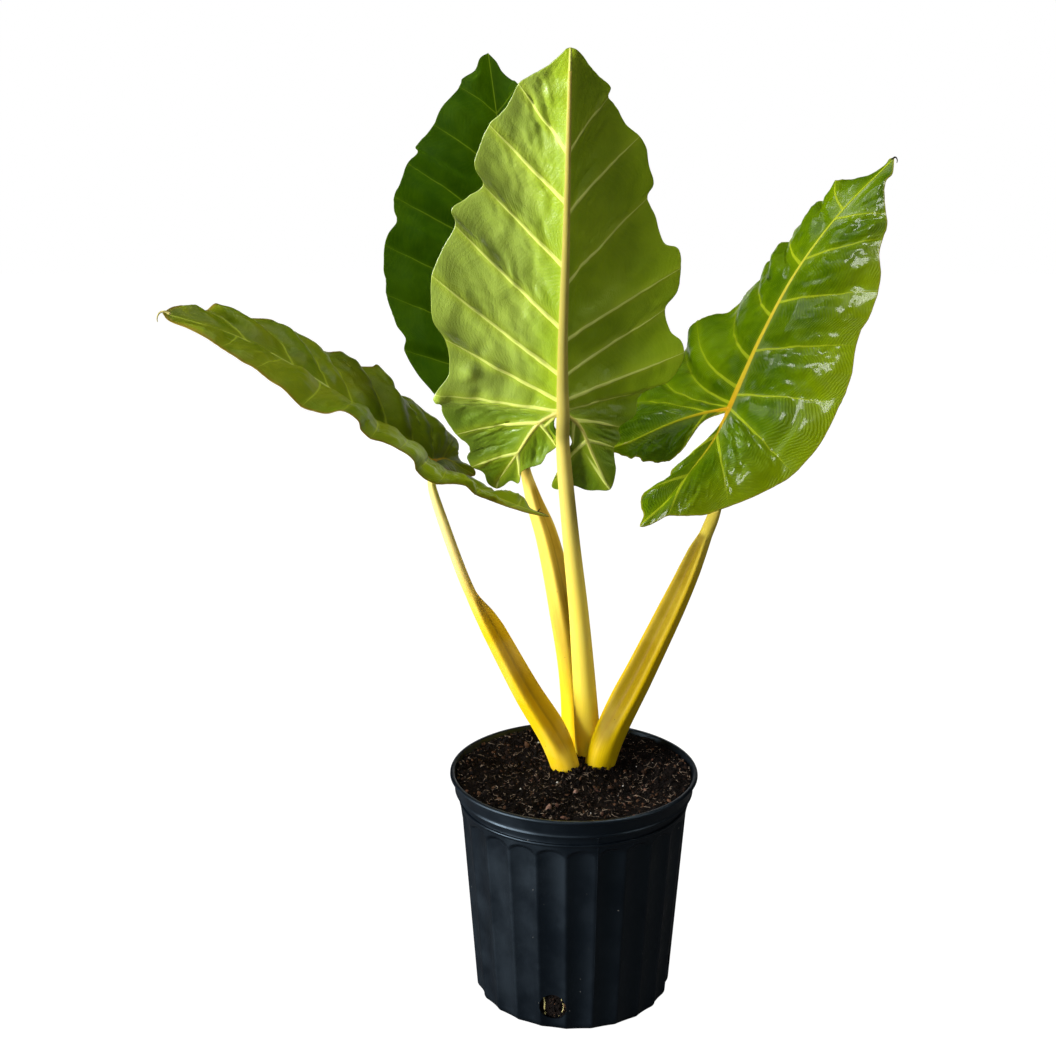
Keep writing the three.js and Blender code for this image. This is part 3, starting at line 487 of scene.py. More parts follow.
# What a gardener would change about a blade: how far it waves along the margin, the half widths of its
# side veins and midrib in mm where they are widest and thinnest, their heights, and the steps across a
# half and the rows to a stretch of margin that its mesh has. For each half it says where on the spine the
# side veins start, and how much it bulges between them, is puckered, bows towards the stalk, is dimpled
# and has a ragged margin. A dent is [half, start on the spine, share of the way to the margin, reach,
# height towards the upper side].
leafForm = {
    "front": {
        "wave": 1.0, "vein": (2.1, .7), "veinHeight": (.9, .3), "rib": (3.2, 1.2), "ribHeight": 1.9,
        "across": 36, "rows": 6,
        "right": {"veins": [.284, .427, .592, .747, .887, .97, 1.0, 1.3, 1.65, 2.0],
                  "quilt": .06, "pucker": 1.4, "bow": .03, "dimple": .5, "ragged": .5},
        "left": {"veins": [.289, .463, .64, .785, .895, .97, 1.0, 1.22, 1.5, 2.0],
                 "quilt": .05, "pucker": 1.2, "bow": .03, "dimple": .45, "ragged": .4},
        "dents": [("right", .982, .82, 9, -8), ("right", .995, .66, 8, 4), ("right", 1.03, .95, 7, -5),
                  ("right", .97, .55, 12, -2.5), ("right", .9, .8, 18, -2.5), ("right", .72, .72, 14, -2),
                  ("right", .2, .6, 12, -2.5), ("right", .12, .5, 8, 2), ("right", .3, .35, 9, 2.2),
                  ("left", .9, .8, 18, -2), ("left", .62, .4, 11, -1.8), ("left", .8, .3, 10, 1.8)]},
    "back": {
        "wave": 1.0, "vein": (1.4, .5), "veinHeight": (.7, .2), "rib": (2.6, .7), "ribHeight": 1.4,
        "across": 26, "rows": 5,
        "right": {"veins": [.18, .36, .55, .72, .86, .98, 1.4, 2.0],
                  "quilt": .06, "pucker": 1.0, "bow": .03, "dimple": .3, "ragged": .6},
        "left": {"veins": [.18, .36, .52, .6, .73, .85, .96, 1.0, 1.7, 2.0],
                 "quilt": .06, "pucker": 1.0, "bow": .03, "dimple": .3, "ragged": .6},
        "dents": []},
    "left": {
        "wave": .6, "vein": (1.4, .5), "veinHeight": (.7, .2), "rib": (2.4, .7), "ribHeight": 1.4,
        "across": 26, "rows": 5,
        "right": {"veins": [.28, .44, .58, .7, .835, .93, 1.0, 1.35, 1.65, 2.0],
                  "quilt": .14, "pucker": 1.4, "bow": .04, "dimple": .5, "ragged": .9},
        "left": {"veins": [.25, .4, .54, .67, .77, .88, .97, 1.1, 1.42, 1.75, 2.0],
                 "quilt": .1, "pucker": 1.5, "bow": .04, "dimple": .5, "ragged": .6},
        "dents": []},
    "right": {
        "wave": 1.0, "vein": (1.7, .5), "veinHeight": (.8, .25), "rib": (2.7, .5), "ribHeight": 1.5,
        "across": 30, "rows": 5,
        "right": {"veins": [.28, .45, .62, .8, .955, 1.0, 1.28, 1.7, 2.0],
                  "quilt": .07, "pucker": 1.7, "bow": .02, "dimple": .5, "ragged": .5},
        "left": {"veins": [.24, .47, .67, .83, .93, .985, 1.0, 1.25, 2.0],
                 "quilt": .08, "pucker": 1.3, "bow": .08, "dimple": .5, "ragged": 2.5},
        "dents": [("left", .99, .86, 8, 4), ("left", .985, .7, 9, -3), ("left", 1.15, .85, 7, 4),
                  ("left", 1.4, .85, 8, -4)]},
}
# What all blades share, in mm: the sheet's thickness and how high it arches between midrib and margin,
# the cells of the noise that puckers and dimples it, the length of the waves, and how far from the midrib
# and from the margin the steps stand that are set closer there.
leafSheet = {"thickness": 1.0, "arch": 6, "pucker": (15, 13), "finePucker": 6.5, "dimple": (7, 5.5),
             "wave": 21, "besideRib": [0, .7, 1.5, 2.7, 4.6], "besideMargin": [5, 2.2, .9, 0]}


# A half's curves: the spine runs down the midrib and on into the basal rib, the margin from the tip round
# the lobe to the notch. Marks say at which spine value the vein to each margin point starts.
def halfCurves(leaf, half):
    edge = np.array(leaf[half]["edge"], float)
    marks = np.concatenate([[0], edge[:, 0], [1]])
    rim = np.vstack([leaf["midrib"][0], edge[:, 1:], leaf["sinus"]])
    ribPoints = [leaf["midrib"][-1]] + leaf[half]["rib"]
    lobe = marks.argmax()
    steps = np.arange(len(marks))

    def spine(start):
        start = np.asarray(start, float)[..., None]
        upper = curvePoint(leaf["midrib"], np.minimum(start[..., 0], 1))
        return np.where(start <= 1, upper, curvePoint(ribPoints, np.maximum(start[..., 0] - 1, 0)))

    def margin(place):
        return curvePoint(rim, place / (len(marks) - 1))

    def placeOf(start, outer=True):
        if outer:
            return np.interp(start, marks[:lobe + 1], steps[:lobe + 1])
        return np.interp(start, marks[lobe:][::-1], steps[lobe:][::-1])

    return spine, margin, placeOf, marks, lobe


# The upper side's direction on one half: square to the spine and to the vein that starts there.
def halfUp(leaf, half, start):
    spine, margin, placeOf, _, _ = halfCurves(leaf, half)
    along = spine(max(0, start - .1)) - spine(min(1, start + .1))
    outward = margin(placeOf(start)) - spine(start)
    return unit(np.cross(outward, along) * (-1 if half == "left" else 1))


def leafUp(leaf, start):
    return unit(halfUp(leaf, "right", start) + halfUp(leaf, "left", start))


# The spine values of a half's rows: so many to each stretch between two margin points, and five at each
# vein.
def rowStarts(leaf, form, half, outer):
    _, _, placeOf, marks, lobe = halfCurves(leaf, half)
    veins = [v for v in form[half]["veins"] if outer or v > 1]
    low, high = (0, lobe) if outer else (lobe, len(marks) - 1)
    places = np.linspace(low, high, (high - low) * form["rows"] + 1)
    beside = placeOf(np.array(veins), outer)[:, None] + np.array([-.16, -.06, 0, .06, .16])
    places = np.unique(np.clip(np.concatenate([places, beside.ravel()]), low, high))
    return np.interp(places, np.arange(len(marks)), marks)


# Keeps values that are at least a step apart, and all that must stay.
def thin(values, must, step):
    values = np.unique(np.round(values, 5))
    near = np.abs(values[:, None] - must[None, :]).min(1) if len(must) else np.full(len(values), 1.0)
    values = values[near > step * .7]
    kept = np.floor(values / step)
    values = values[np.concatenate([[True], kept[1:] != kept[:-1]])]
    return np.unique(np.concatenate([values, must]))


# Distance of points from the line through a spot along a direction.
def lineDistance(points, spot, direction):
    away = points - spot
    return np.linalg.norm(away - direction * (away * direction).sum(-1, keepdims=True), axis=-1)


# The flat grid of half a blade: straight steps v from root, on the spine, to rim, on the margin, which
# noise moves in and out. Rows on the outer side of the lobe come first, then those on its inner side.
def halfSheet(leaf, form, half, outerStarts, innerStarts, seed):
    spine, margin, placeOf, _, _ = halfCurves(leaf, half)
    innerStarts = innerStarts[::-1][1:]
    start = np.concatenate([outerStarts, innerStarts])
    place = np.concatenate([placeOf(outerStarts), placeOf(innerStarts, False)])
    root, rim = spine(start), margin(place)
    nick = latticeNoise(place * 2.3, place * 0 + .5, seed + 5)
    nick = nick + .6 * latticeNoise(place * 5.1, place * 0 + 2.5, seed + 6)
    inset = form[half]["ragged"] * nick * smoothstep(np.linalg.norm(rim - root, axis=1), 10, 40)
    rim = rim + unit(rim - root + 1e-6) * inset[:, None]
    length = np.linalg.norm(rim - root, axis=1)
    room = (np.minimum(1, length * .2 / 5) / np.maximum(length, .01))[:, None]
    first, last = np.array(leafSheet["besideRib"]) * room, 1 - np.array(leafSheet["besideMargin"]) * room
    middle = first[:, -1:] + (last[:, :1] - first[:, -1:]) * np.linspace(0, 1, form["across"])[None, 1:-1]
    v = np.concatenate([first, middle, last], 1)
    v[length < .01] = np.linspace(0, 1, v.shape[1])
    return start, np.arange(len(start)) < len(outerStarts), root, rim, length, v


# How far each grid point is from the veins before and after its row, on the outer and on the inner side
# of the lobe. A vein is the row that starts nearest to it. Where there is none, the distance is very
# large.
def veinGaps(veins, start, isOuter, root, rim, points):
    gaps = np.full((2, *points.shape[:2]), 1e3)
    for outer in (True, False):
        rows = np.flatnonzero(isOuter == outer)
        if len(rows) == 0:
            continue
        here = np.array(veins) if outer else np.unique([1.02] + [x for x in veins if x > 1])
        nearest = rows[[np.abs(start[rows] - x).argmin() for x in here]]
        ways = unit(rim[nearest] - root[nearest])
        k = np.searchsorted(start[nearest], start[rows], side="right")
        for step, gap in ((k - 1, gaps[0]), (k, gaps[1])):
            good = (step >= 0) & (step < len(here))
            use = np.clip(step, 0, len(here) - 1)
            distance = lineDistance(points[rows], points[nearest[use]], ways[use][:, None])
            gap[rows] = np.where(good[:, None], distance, 1e3)
    return gaps


# How far the sheet is lifted: pillows between the veins (a power of a sine), lattice noise for puckers,
# dimples beside the veins, bell-shaped dents, and a wave along the margin.
def sheetLift(form, half, sheet, points, along, gaps, ribDistance, seed):
    start, _, _, rim, length, v = sheet
    side, reach, long = form[half], v * length[:, None], length[:, None]
    before, after = gaps
    veinDistance = np.minimum(before, after)
    both = before + after
    between = np.where(both < 900, before / np.maximum(both, 1e-3), np.clip(veinDistance / 60, 0, .5))
    fade = smoothstep(ribDistance, 2, 22) * (1 - .75 * smoothstep(v, .75, 1)) * smoothstep(long, 8, 30)
    lift = side["quilt"] * np.minimum(both, 60) * np.sin(np.pi * between) ** 1.4 * fade
    (wide, high), fine, dimple = leafSheet["pucker"], leafSheet["finePucker"], leafSheet["dimple"]
    rough = latticeNoise(along / wide, reach / high + 40, seed)
    rough = rough + .4 * latticeNoise(along / fine, reach / fine, seed + 1)
    lift = lift + side["pucker"] * rough * fade * (1 - .5 * smoothstep(v, .8, 1))
    beside = smoothstep(veinDistance, 1, 4) * (1 - smoothstep(veinDistance, 9, 22))
    dimples = smoothstep(latticeNoise(along / dimple[0], reach / dimple[1] + 9, seed + 3), .1, .8)
    lift = lift + side["dimple"] * dimples * (.35 + beside) * fade
    for dented, at, across, width, height in form["dents"]:
        if dented == half:
            row = np.abs(start - at).argmin()
            spot = points[row, np.abs(v[row] - across).argmin()]
            lift = lift + height * np.exp(-(np.linalg.norm(points - spot, axis=-1) / width) ** 2)
    place = lengthAlong(rim)
    wave = latticeNoise(place / leafSheet["wave"] + 7, place * 0 + 3.5, seed + 2)[:, None]
    return lift + form["wave"] * (wave * smoothstep(v, .55, 1)) * smoothstep(long, 10, 40)


# Half a blade as a grid: the flat one raised by a sine arch and drawn a little towards the stalk as the
# veins bow, its lift, and what the surface needs to know at each point, in millimetres. Reach is negative
# on the left half.
def halfGrid(leaf, form, half, outerStarts, innerStarts, seed):
    sheet = halfSheet(leaf, form, half, outerStarts, innerStarts, seed)
    start, isOuter, root, rim, length, v = sheet
    long, spineValue = length[:, None], start[:, None]
    arch = np.sin(np.pi * v)[..., None]
    toStalk = unit(np.array(leaf["midrib"][-1], float) - leaf["midrib"][0])
    bow = form[half]["bow"] * length * isOuter * (1 - smoothstep(start, .93, 1.3))
    points = mix(root[:, None], rim[:, None], v[..., None])
    up = halfUp(leaf, half, .5)
    points = points + up * arch * leafSheet["arch"] * smoothstep(long, 12, 90)[..., None]
    points = points + toStalk * arch * bow[:, None, None]

    ahead = unit(np.gradient(root, axis=0) + 1e-6)
    lobe = np.argmax(start)
    ahead[start > 1.97] = unit(rim[lobe] - root[lobe])
    ribDistance = lineDistance(points, root[:, None], ahead[:, None])
    ribDistance = np.where(spineValue > 1.9, np.minimum(ribDistance, v * long), ribDistance)
    edgeDistance = lineDistance(points, rim[:, None], unit(np.gradient(rim, axis=0) + 1e-6)[:, None])
    gaps = veinGaps(form[half]["veins"], start, isOuter, root, rim, points)
    along = spineValue * 380 + np.where(isOuter, 0, 400)[:, None]
    lift = sheetLift(form, half, sheet, points, along, gaps, ribDistance, seed)

    veinWide = mix(*form["vein"], v ** .6) * smoothstep(start, -.05, .35)[:, None]
    veinWide = veinWide * (1 - .65 * smoothstep(v, .7, 1))
    ribWide = mix(*form["rib"][::-1], np.where(start <= 1, start ** 1.5, (2 - start) ** .8))
    ribWide = ribWide * mix(1, .6, smoothstep(start, 1, 1.15))
    ribWide = ribWide[:, None] * np.where(spineValue > 1.9, 1 - .8 * v, 1)
    return {"points": points, "lift": lift, "vein": np.minimum(*gaps), "veinWide": veinWide,
            "rib": ribDistance, "ribWide": ribWide * np.ones_like(v), "edge": edgeDistance,
            "reach": v * long * (-1 if half == "left" else 1), "inward": (1 - v) * long,
            "along": along * np.ones_like(v)}


# Both halves welded into one sheet: its points, its triangles, and the values at its points.
def weldHalves(leaf, form, seed):
    halves = ("right", "left")
    outer, inner = ({half: rowStarts(leaf, form, half, side) for half in halves} for side in (True, False))
    midStarts = np.concatenate([outer[half][outer[half] <= 1] for half in halves])
    midMust = np.array([0, 1.0] + form["right"]["veins"] + form["left"]["veins"])
    midStarts = thin(midStarts, np.unique(midMust[midMust <= 1]), .0022)
    grids = []
    for half, shift in zip(halves, (0, 10)):
        ribMust = np.unique([1.0, 2.0] + [x for x in form[half]["veins"] if x > 1])
        ribStarts = thin(np.concatenate([outer[half][outer[half] > 1], inner[half]]), ribMust, .006)
        outerStarts = np.unique(np.concatenate([midStarts, ribStarts]))
        grids.append(halfGrid(leaf, form, half, outerStarts, ribStarts, seed + shift))
    triangles, first = [], 0
    for half, grid in zip(halves, grids):
        rows, columns = grid["reach"].shape
        i, j = np.meshgrid(np.arange(rows - 1), np.arange(columns - 1), indexing="ij")
        a = first + i * columns + j
        b, c, d = a + 1, a + columns + 1, a + columns
        quads = np.stack([a, b, c, a, c, d] if half == "left" else [a, c, b, a, d, c], -1)
        triangles.append(quads.reshape(-1, 3))
        first += rows * columns
    points = np.vstack([grid.pop("points").reshape(-1, 3) for grid in grids])
    _, keep, back = np.unique(np.round(points, 3), axis=0, return_index=True, return_inverse=True)
    values = {key: np.concatenate([grid[key].ravel() for grid in grids])[keep] for key in grids[0]}
    triangles = back.ravel()[np.vstack(triangles)]
    good = (triangles != np.roll(triangles, 1, axis=1)).all(1)
    return points[keep], triangles[good], values


# A blade as one closed sheet: each face stands half the thickness off the middle, with ridges for the
# veins below and a low raised line over each above, and a rim joins the two.
def buildLeaf(name, materials, seed):
    form = leafForm[name]
    points, triangles, values = weldHalves(leafRows[name], form, seed)
    points = points + pointNormals(points, triangles) * values["lift"][:, None]
    normal = pointNormals(points, triangles)
    veinShape = 1 - smoothstep(values["vein"] / np.maximum(values["veinWide"], .05), 0, 1.5)
    ribShape = 1 - smoothstep(values["rib"] / values["ribWide"], 0, 1.4)
    veinHeight = mix(*form["veinHeight"][::-1], np.clip(values["veinWide"] / form["vein"][0], 0, 1))
    ribHeight = form["ribHeight"] * values["ribWide"] / form["rib"][0]
    below = np.maximum(veinHeight * veinShape, ribHeight * ribShape)
    above = np.maximum(.35 * veinHeight * veinShape, .45 * ribHeight * ribShape)
    wall = leafSheet["thickness"] / 2 * mix(.6, 1, smoothstep(values["edge"], 0, 4))
    upper = points + normal * (wall + above)[:, None]
    under = points - normal * (wall + below)[:, None]

    n = len(points)
    pairs = np.vstack([triangles[:, [0, 1]], triangles[:, [1, 2]], triangles[:, [2, 0]]])
    _, index, count = np.unique(np.sort(pairs, 1) @ np.array([n, 1]), return_index=True, return_counts=True)
    a, b = pairs[index[count == 1]].T
    rim = np.vstack([np.stack([b, a, a + n], -1), np.stack([b, a + n, b + n], -1)])
    faces = np.vstack([triangles, triangles[:, ::-1] + n, rim])
    faceMaterial = np.repeat([0, 1, 0], [len(triangles), len(triangles), len(rim)])
    corner = faces.ravel() % n
    maps = {"veinMap": ("vein", "veinWide"), "ribMap": ("rib", "ribWide"), "edgeMap": ("edge", "inward"),
            "sheetMap": ("along", "reach")}
    maps = {key: np.stack([values[k] for k in pair], -1)[corner] for key, pair in maps.items()}
    return addPiece("leaf_" + name, np.vstack([upper, under]), faces, materials, ["blade_" + name],
                    "blade_" + name, faceMaterial, maps)


# Colours of the blades' two sides. Halo is the lighter zone beside the veins, tint the second green that
# the lamina is mottled with, outer the green far out on the right half, lobe that of the basal lobes.
# On the front blade's underside outer is a painted sheen, paler over the half that faces the window, and
# lobe is painted shade on the lobes; on the left blade's upper side lobe is painted light on the shaded
# lobes and foot of the blade.
# OuterReach says between which distances from the midrib, in millimetres and negative to the left, the
# outer green comes in, and lobeStart between which distances along it the lobes' does. CoatLeft is the
# share of the coat on the left half. A side has the values of plainLook where it names none of its own.
plainLook = {"halo": (150, 168, 70), "haloReach": 9, "haloAmount": .4, "veinAmount": 1.0, "veinFade": .8,
             "outerReach": (35, 105), "lobeStart": (380, 470), "marginReach": .8, "lineHeight": .1,
             "netHeight": .05, "spacing": 4.5, "coat": .0, "coatLeft": 1.0, "coatRoughness": .18,
             "mirror": .25}
hiddenLook = {**plainLook, "vein": (200, 198, 110), "margin": (150, 150, 70), "roughness": .45,
              "netHeight": .06, "coat": .05}
leafLook = {
    "front": {
        "upper": {**plainLook, "lamina": (66, 98, 4), "tint": (84, 112, 8), "halo": (110, 140, 20),
                  "vein": (176, 190, 70), "veinAmount": .8, "rib": (214, 200, 96), "margin": (120, 130, 50),
                  "haloReach": 7, "roughness": .32, "coat": .15},
        # Front underside: outer is a painted sheen on the window's half, lobe is painted shade on the lobes.
        "under": {**plainLook, "lamina": (132, 160, 6), "tint": (148, 174, 16), "halo": (172, 190, 36),
                  "outer": (156, 172, 84), "outerReach": (0, 60), "lobe": (96, 126, 6),
                  "vein": (214, 224, 110), "rib": (190, 182, 84), "margin": (132, 140, 50),
                  "haloAmount": .45, "roughness": .38, "lineHeight": .09, "netHeight": .09, "coat": .5,
                  "coatLeft": .2, "coatRoughness": .24, "mirror": .4}},
    "back": {
        "upper": {**plainLook, "lamina": (43, 74, 0), "tint": (57, 88, 0), "halo": (72, 102, 4),
                  "vein": (104, 132, 20), "veinAmount": .8, "rib": (150, 166, 40), "margin": (70, 80, 20),
                  "haloReach": 5, "haloAmount": .35, "roughness": .5, "mirror": .02},
        "under": {**hiddenLook, "lamina": (120, 142, 40), "tint": (136, 156, 60), "rib": (210, 196, 100)}},
    "left": {
        # Left upper side: lobe is painted light on the lobes and the foot of the blade, which lie in shade.
        "upper": {**plainLook, "lamina": (86, 106, 7), "tint": (110, 120, 14), "halo": (110, 122, 22),
                  "lobe": (122, 140, 14), "lobeStart": (290, 350), "vein": (156, 170, 50), "veinAmount": .6,
                  "rib": (184, 192, 116), "ribFoot": (236, 180, 40), "margin": (128, 82, 34),
                  "marginReach": 5.0, "haloReach": 6, "haloAmount": .45, "roughness": .38,
                  "lineHeight": .12, "mirror": .06},
        "under": {**hiddenLook, "lamina": (112, 134, 36), "tint": (130, 150, 56), "rib": (206, 196, 104),
                  "margin": (150, 140, 70)}},
    "right": {
        "upper": {**plainLook, "lamina": (60, 90, 0), "tint": (92, 120, 0), "halo": (116, 140, 4),
                  "outer": (142, 160, 2), "vein": (160, 174, 30), "veinAmount": .75, "veinFade": .5,
                  "rib": (206, 182, 40), "ribTip": (214, 204, 90), "ribFoot": (196, 154, 20),
                  "margin": (150, 140, 30), "marginReach": 2.5, "haloAmount": .45, "roughness": .34,
                  "lineHeight": .32, "spacing": 3.0, "coat": .21, "coatRoughness": .13, "mirror": .04},
        "under": {**hiddenLook, "lamina": (120, 146, 40), "tint": (138, 160, 60), "halo": (150, 170, 70),
                  "vein": (206, 202, 110), "rib": (212, 198, 100)}},
}


# The finish of one side of a blade: a mottled lamina under the vein pattern, slightly paler along the
# fine veins, with the fine veins as bump. On the right half it is eased to the outer green away from the
# midrib, and on both to the lobes' green past the stalk; on the front underside these are a painted sheen
# and painted shade, and on the left blade's upper side the lobes' green is painted light. The side veins
# fade towards the margin, and the rib's colour is eased from the tip's to its own and to the foot's.
# Veins are duller than the lamina.
def leafMaterial(name, side):
    look = leafLook[name][side]
    material, tree = startMaterial(name + "Leaf" + side.title())
    vein, rib, edge, sheet = (uvMap(tree, key) for key in ("veinMap", "ribMap", "edgeMap", "sheetMap"))
    along, reach = sheet[0], sheet[1]
    green = useGroup(tree, mottle, {"Color A": look["lamina"], "Color B": look["tint"], "Scale": 16.0,
                                    "Balance": .5})
    fine = useGroup(tree, fineVeins, {
        "Inward": edge[1], "Vein Distance": vein[0], "Line Height": look["lineHeight"],
        "Net Height": look["netHeight"], "Spacing": look["spacing"]})
    lamina = (fine["Lines"] * .14).blend(green["Color"], look["halo"])
    # On the front underside this outer green is a painted sheen over the half that faces the window.
    outer = reach.ease(*look["outerReach"]) * (.55 if "outer" in look else 0)
    lamina = outer.blend(lamina, look.get("outer", look["tint"]))
    # The lobes' green: painted shade on the front underside, painted light on the left blade's upper side.
    lobe = along.ease(*look["lobeStart"]) * (.8 if "lobe" in look else 0)
    lamina = lobe.blend(lamina, look.get("lobe", look["tint"]))
    fading = abs(reach).ease(35, 120, 1.0, look["veinFade"])
    ribColor = along.ease(30, 330).blend(look.get("ribTip", look["rib"]), look["rib"])
    ribColor = along.ease(330, 385).blend(ribColor, look.get("ribFoot", look["rib"]))
    veins = useGroup(tree, veinPattern, {
        "Vein Distance": vein[0], "Vein Width": vein[1], "Rib Distance": rib[0], "Rib Width": rib[1],
        "Edge Distance": edge[0], "Lamina": lamina, "Halo": look["halo"], "Vein": look["vein"],
        "Rib": ribColor, "Margin": look["margin"], "Halo Reach": look["haloReach"],
        "Halo Amount": look["haloAmount"], "Vein Amount": fading * look["veinAmount"],
        "Margin Reach": look["marginReach"]})
    rough = noise(tree, 30, 4, .6).ease(.3, .7, look["roughness"] - .06, look["roughness"] + .08)
    between = 1.0 - veins["Mask"]
    coat = reach.ease(-30, 20, look["coat"] * look["coatLeft"], look["coat"])
    return endMaterial(material, {
        "Base Color": veins["Color"], "Roughness": rough + veins["Mask"] * .14,
        "Coat Weight": between * coat, "Coat Roughness": look["coatRoughness"],
        "Normal": bump(tree, fine["Height"] * between),
        "Specular IOR Level": look["mirror"], "Subsurface Weight": .18, "Subsurface Radius": (.8, 1.0, .25),
        "Subsurface Scale": .0015})


# Each stalk's path is [x, y, z, half width] from the rootstock up; keel holds the half widths of the
# ridge that it becomes under the midrib. The sheath is the share of the stem along which the groove and
# its wings run, fade the share over which they die away at its end, closed the share over which the
# groove opens from the foot, and the twist the degrees that the groove is turned out of the blade's
# direction at the foot.
stalkForm = {
    "front": {"path": [[18, 49, 212.3, 14], [14, 40, 284, 12.9], [5, 16, 400, 10.1], [-5, -9, 495, 8.4],
                       [-14, -43, 595, 6.6]],
              "sheath": .3, "fade": .12, "wing": .25, "closed": .3, "twist": 0,
              "keel": [6.2, 5.6, 4.5, 3.4, 2.3, 1.2]},
    "back": {"path": [[2, 69, 212.3, 12.8], [0, 80, 306, 13.4], [-12, 90, 384, 12.6], [-29, 100, 462, 9.9],
                      [-40, 104, 496, 8.2], [-49, 105, 532, 6]],
             "sheath": 1.0, "fade": .34, "wing": .5, "closed": .2, "twist": 0,
             "keel": [4.8, 4.4, 3.8, 3, 2, 1.2]},
    "left": {"path": [[-1, 15, 212.3, 14.4], [-17, 18, 262, 14.4], [-49.5, 21, 318, 12.2],
                      [-84.5, 29, 384, 10], [-105, 34, 421, 5.8], [-120, 39, 458, 5.5], [-142, 48, 525, 5.2]],
             "sheath": .67, "fade": .12, "wing": .5, "closed": .25, "twist": -46,
             "keel": [4.2, 3.9, 3.4, 2.8, 2, 1.2]},
    "right": {"path": [[22, 24, 212.3, 15.5], [34.5, 25, 260, 15.4], [70, 25, 338, 13],
                       [101.5, 26, 409, 11.2], [118, 28, 448, 9.4], [132, 32, 484, 6.7],
                       [140.5, 35, 508, 6.4]],
              "sheath": .86, "fade": .12, "wing": .5, "closed": .3, "twist": 14,
              "keel": [4.8, 4.4, 3.8, 3, 2, 1.2]},
}
keelStarts = [1, .93, .76, .53, .3, .06]
stalkDetail = {"sides": 72, "rowsPerKnot": 14, "ridges": .006, "ridgeLength": 60}


# Radius of a stalk's section over the turn from its upper side: a circle, with a bell for each wing
# beside a narrow bell-shaped groove. Closed fills the groove to one broad bell, as at the foot of the
# sheath.
def stalkSection(wide, wing, closed, angle):
    turn = np.abs(angle)
    wings = wing * np.exp(-(((turn - .78) / .34) ** 2))
    groove = .24 * np.minimum(1, wing * 2.5) * np.exp(-((turn / .42) ** 2))
    broad = wing * .5 * np.exp(-((turn / .95) ** 2))
    return wide * (1 + mix(wings - groove, broad, closed))


# The points that a stalk's middle line runs through: its path, then the keel's, each a little below the
# blade.
def stalkKnots(leaf, form):
    knots = [np.array(form["path"], float)[:, :3]]
    for start, wide in zip(keelStarts, form["keel"]):
        below = .85 + .62 * wide + (2 if start == 1 else 0)
        onRib = curvePoint(leaf["midrib"], np.array([float(start)]))
        knots.append(onRib - leafUp(leaf, min(start, .9)) * below)
    return np.vstack(knots)


# The directions of a stalk's groove and of its right side at each ring: square to its run, the groove
# towards the blade's upper side and turned out of it by the twist near the foot.
def stalkAxes(leaf, form, along, keelShare, stemShare):
    ups = np.vstack([leafUp(leaf, start) for start in np.linspace(.9, .06, 9)])
    up = unit(np.stack([np.interp(keelShare, np.linspace(0, 1, 9), ups[:, k]) for k in range(3)], -1))
    upward = unit(up - along * (up * along).sum(1, keepdims=True))
    twist = np.radians(form["twist"] * (1 - smoothstep(stemShare, .5, .95)))[:, None]
    cos, sin, aside = np.cos(twist), np.sin(twist), np.cross(along, upward)
    return cos * upward + sin * aside, cos * aside - sin * upward


# Rings square to a cubic through the stem's and the keel's points; the half widths run straight between
# them.
def buildStalk(name, material, seed):
    leaf, form, sides = leafRows[name], stalkForm[name], stalkDetail["sides"]
    stem = np.array(form["path"], float)
    knots = stalkKnots(leaf, form)
    spans = len(knots) - 1
    share = np.linspace(0, 1, spans * stalkDetail["rowsPerKnot"] + 1)
    centre = curvePoint(knots, share, uneven=True)
    place = share * spans
    stemShare = place / (len(stem) - 1)
    keelShare = np.clip((place - len(stem)) / (len(form["keel"]) - 1), 0, 1)
    along = unit(np.gradient(centre, axis=0))
    upward, sideways = stalkAxes(leaf, form, along, keelShare, stemShare)
    wide = np.interp(place, np.arange(spans + 1), np.concatenate([stem[:, 3], form["keel"]]))
    wing = form["wing"] * (1 - smoothstep(stemShare, form["sheath"] - form["fade"], form["sheath"]))
    wing = wing * mix(.45, 1, smoothstep(stemShare, .02, .32))
    closed = 1 - smoothstep(stemShare, form["closed"] * .4, form["closed"])
    angle = ((np.arange(sides + 1) + .5) / sides * 2 - 1) * np.pi
    turn = angle[None, :sides]
    radius = stalkSection(wide[:, None], wing[:, None], mix(.2, 1, closed)[:, None], turn)
    length = lengthAlong(centre)
    far = length[:, None]
    ridges = latticeNoise(turn * sides / 9 + far * 0, far / stalkDetail["ridgeLength"], seed)
    radius = radius * (1 + stalkDetail["ridges"] * ridges)
    flat = mix(1, .62, smoothstep(stemShare, .9, 1.05))
    lifted = radius * np.cos(turn) * np.where(np.cos(turn) > 0, flat[:, None], 1)
    aside = radius * np.sin(turn)
    rings = centre[:, None] + upward[:, None] * lifted[..., None] + sideways[:, None] * aside[..., None]
    points, faces, rows, turns = ringSkin(rings)
    open = np.minimum(wing / form["wing"] * 2, 1) * (1 - closed)
    maps = {"stalkMap": np.stack([stemShare[rows], angle[np.minimum(turns, sides)] / (2 * np.pi) + .5], -1),
            "lengthMap": np.stack([length[rows], open[rows]], -1)}
    node = "stalk_" + name
    return addPiece(node + "_skin", points, faces, [material], [node], "stalk", maps=maps)


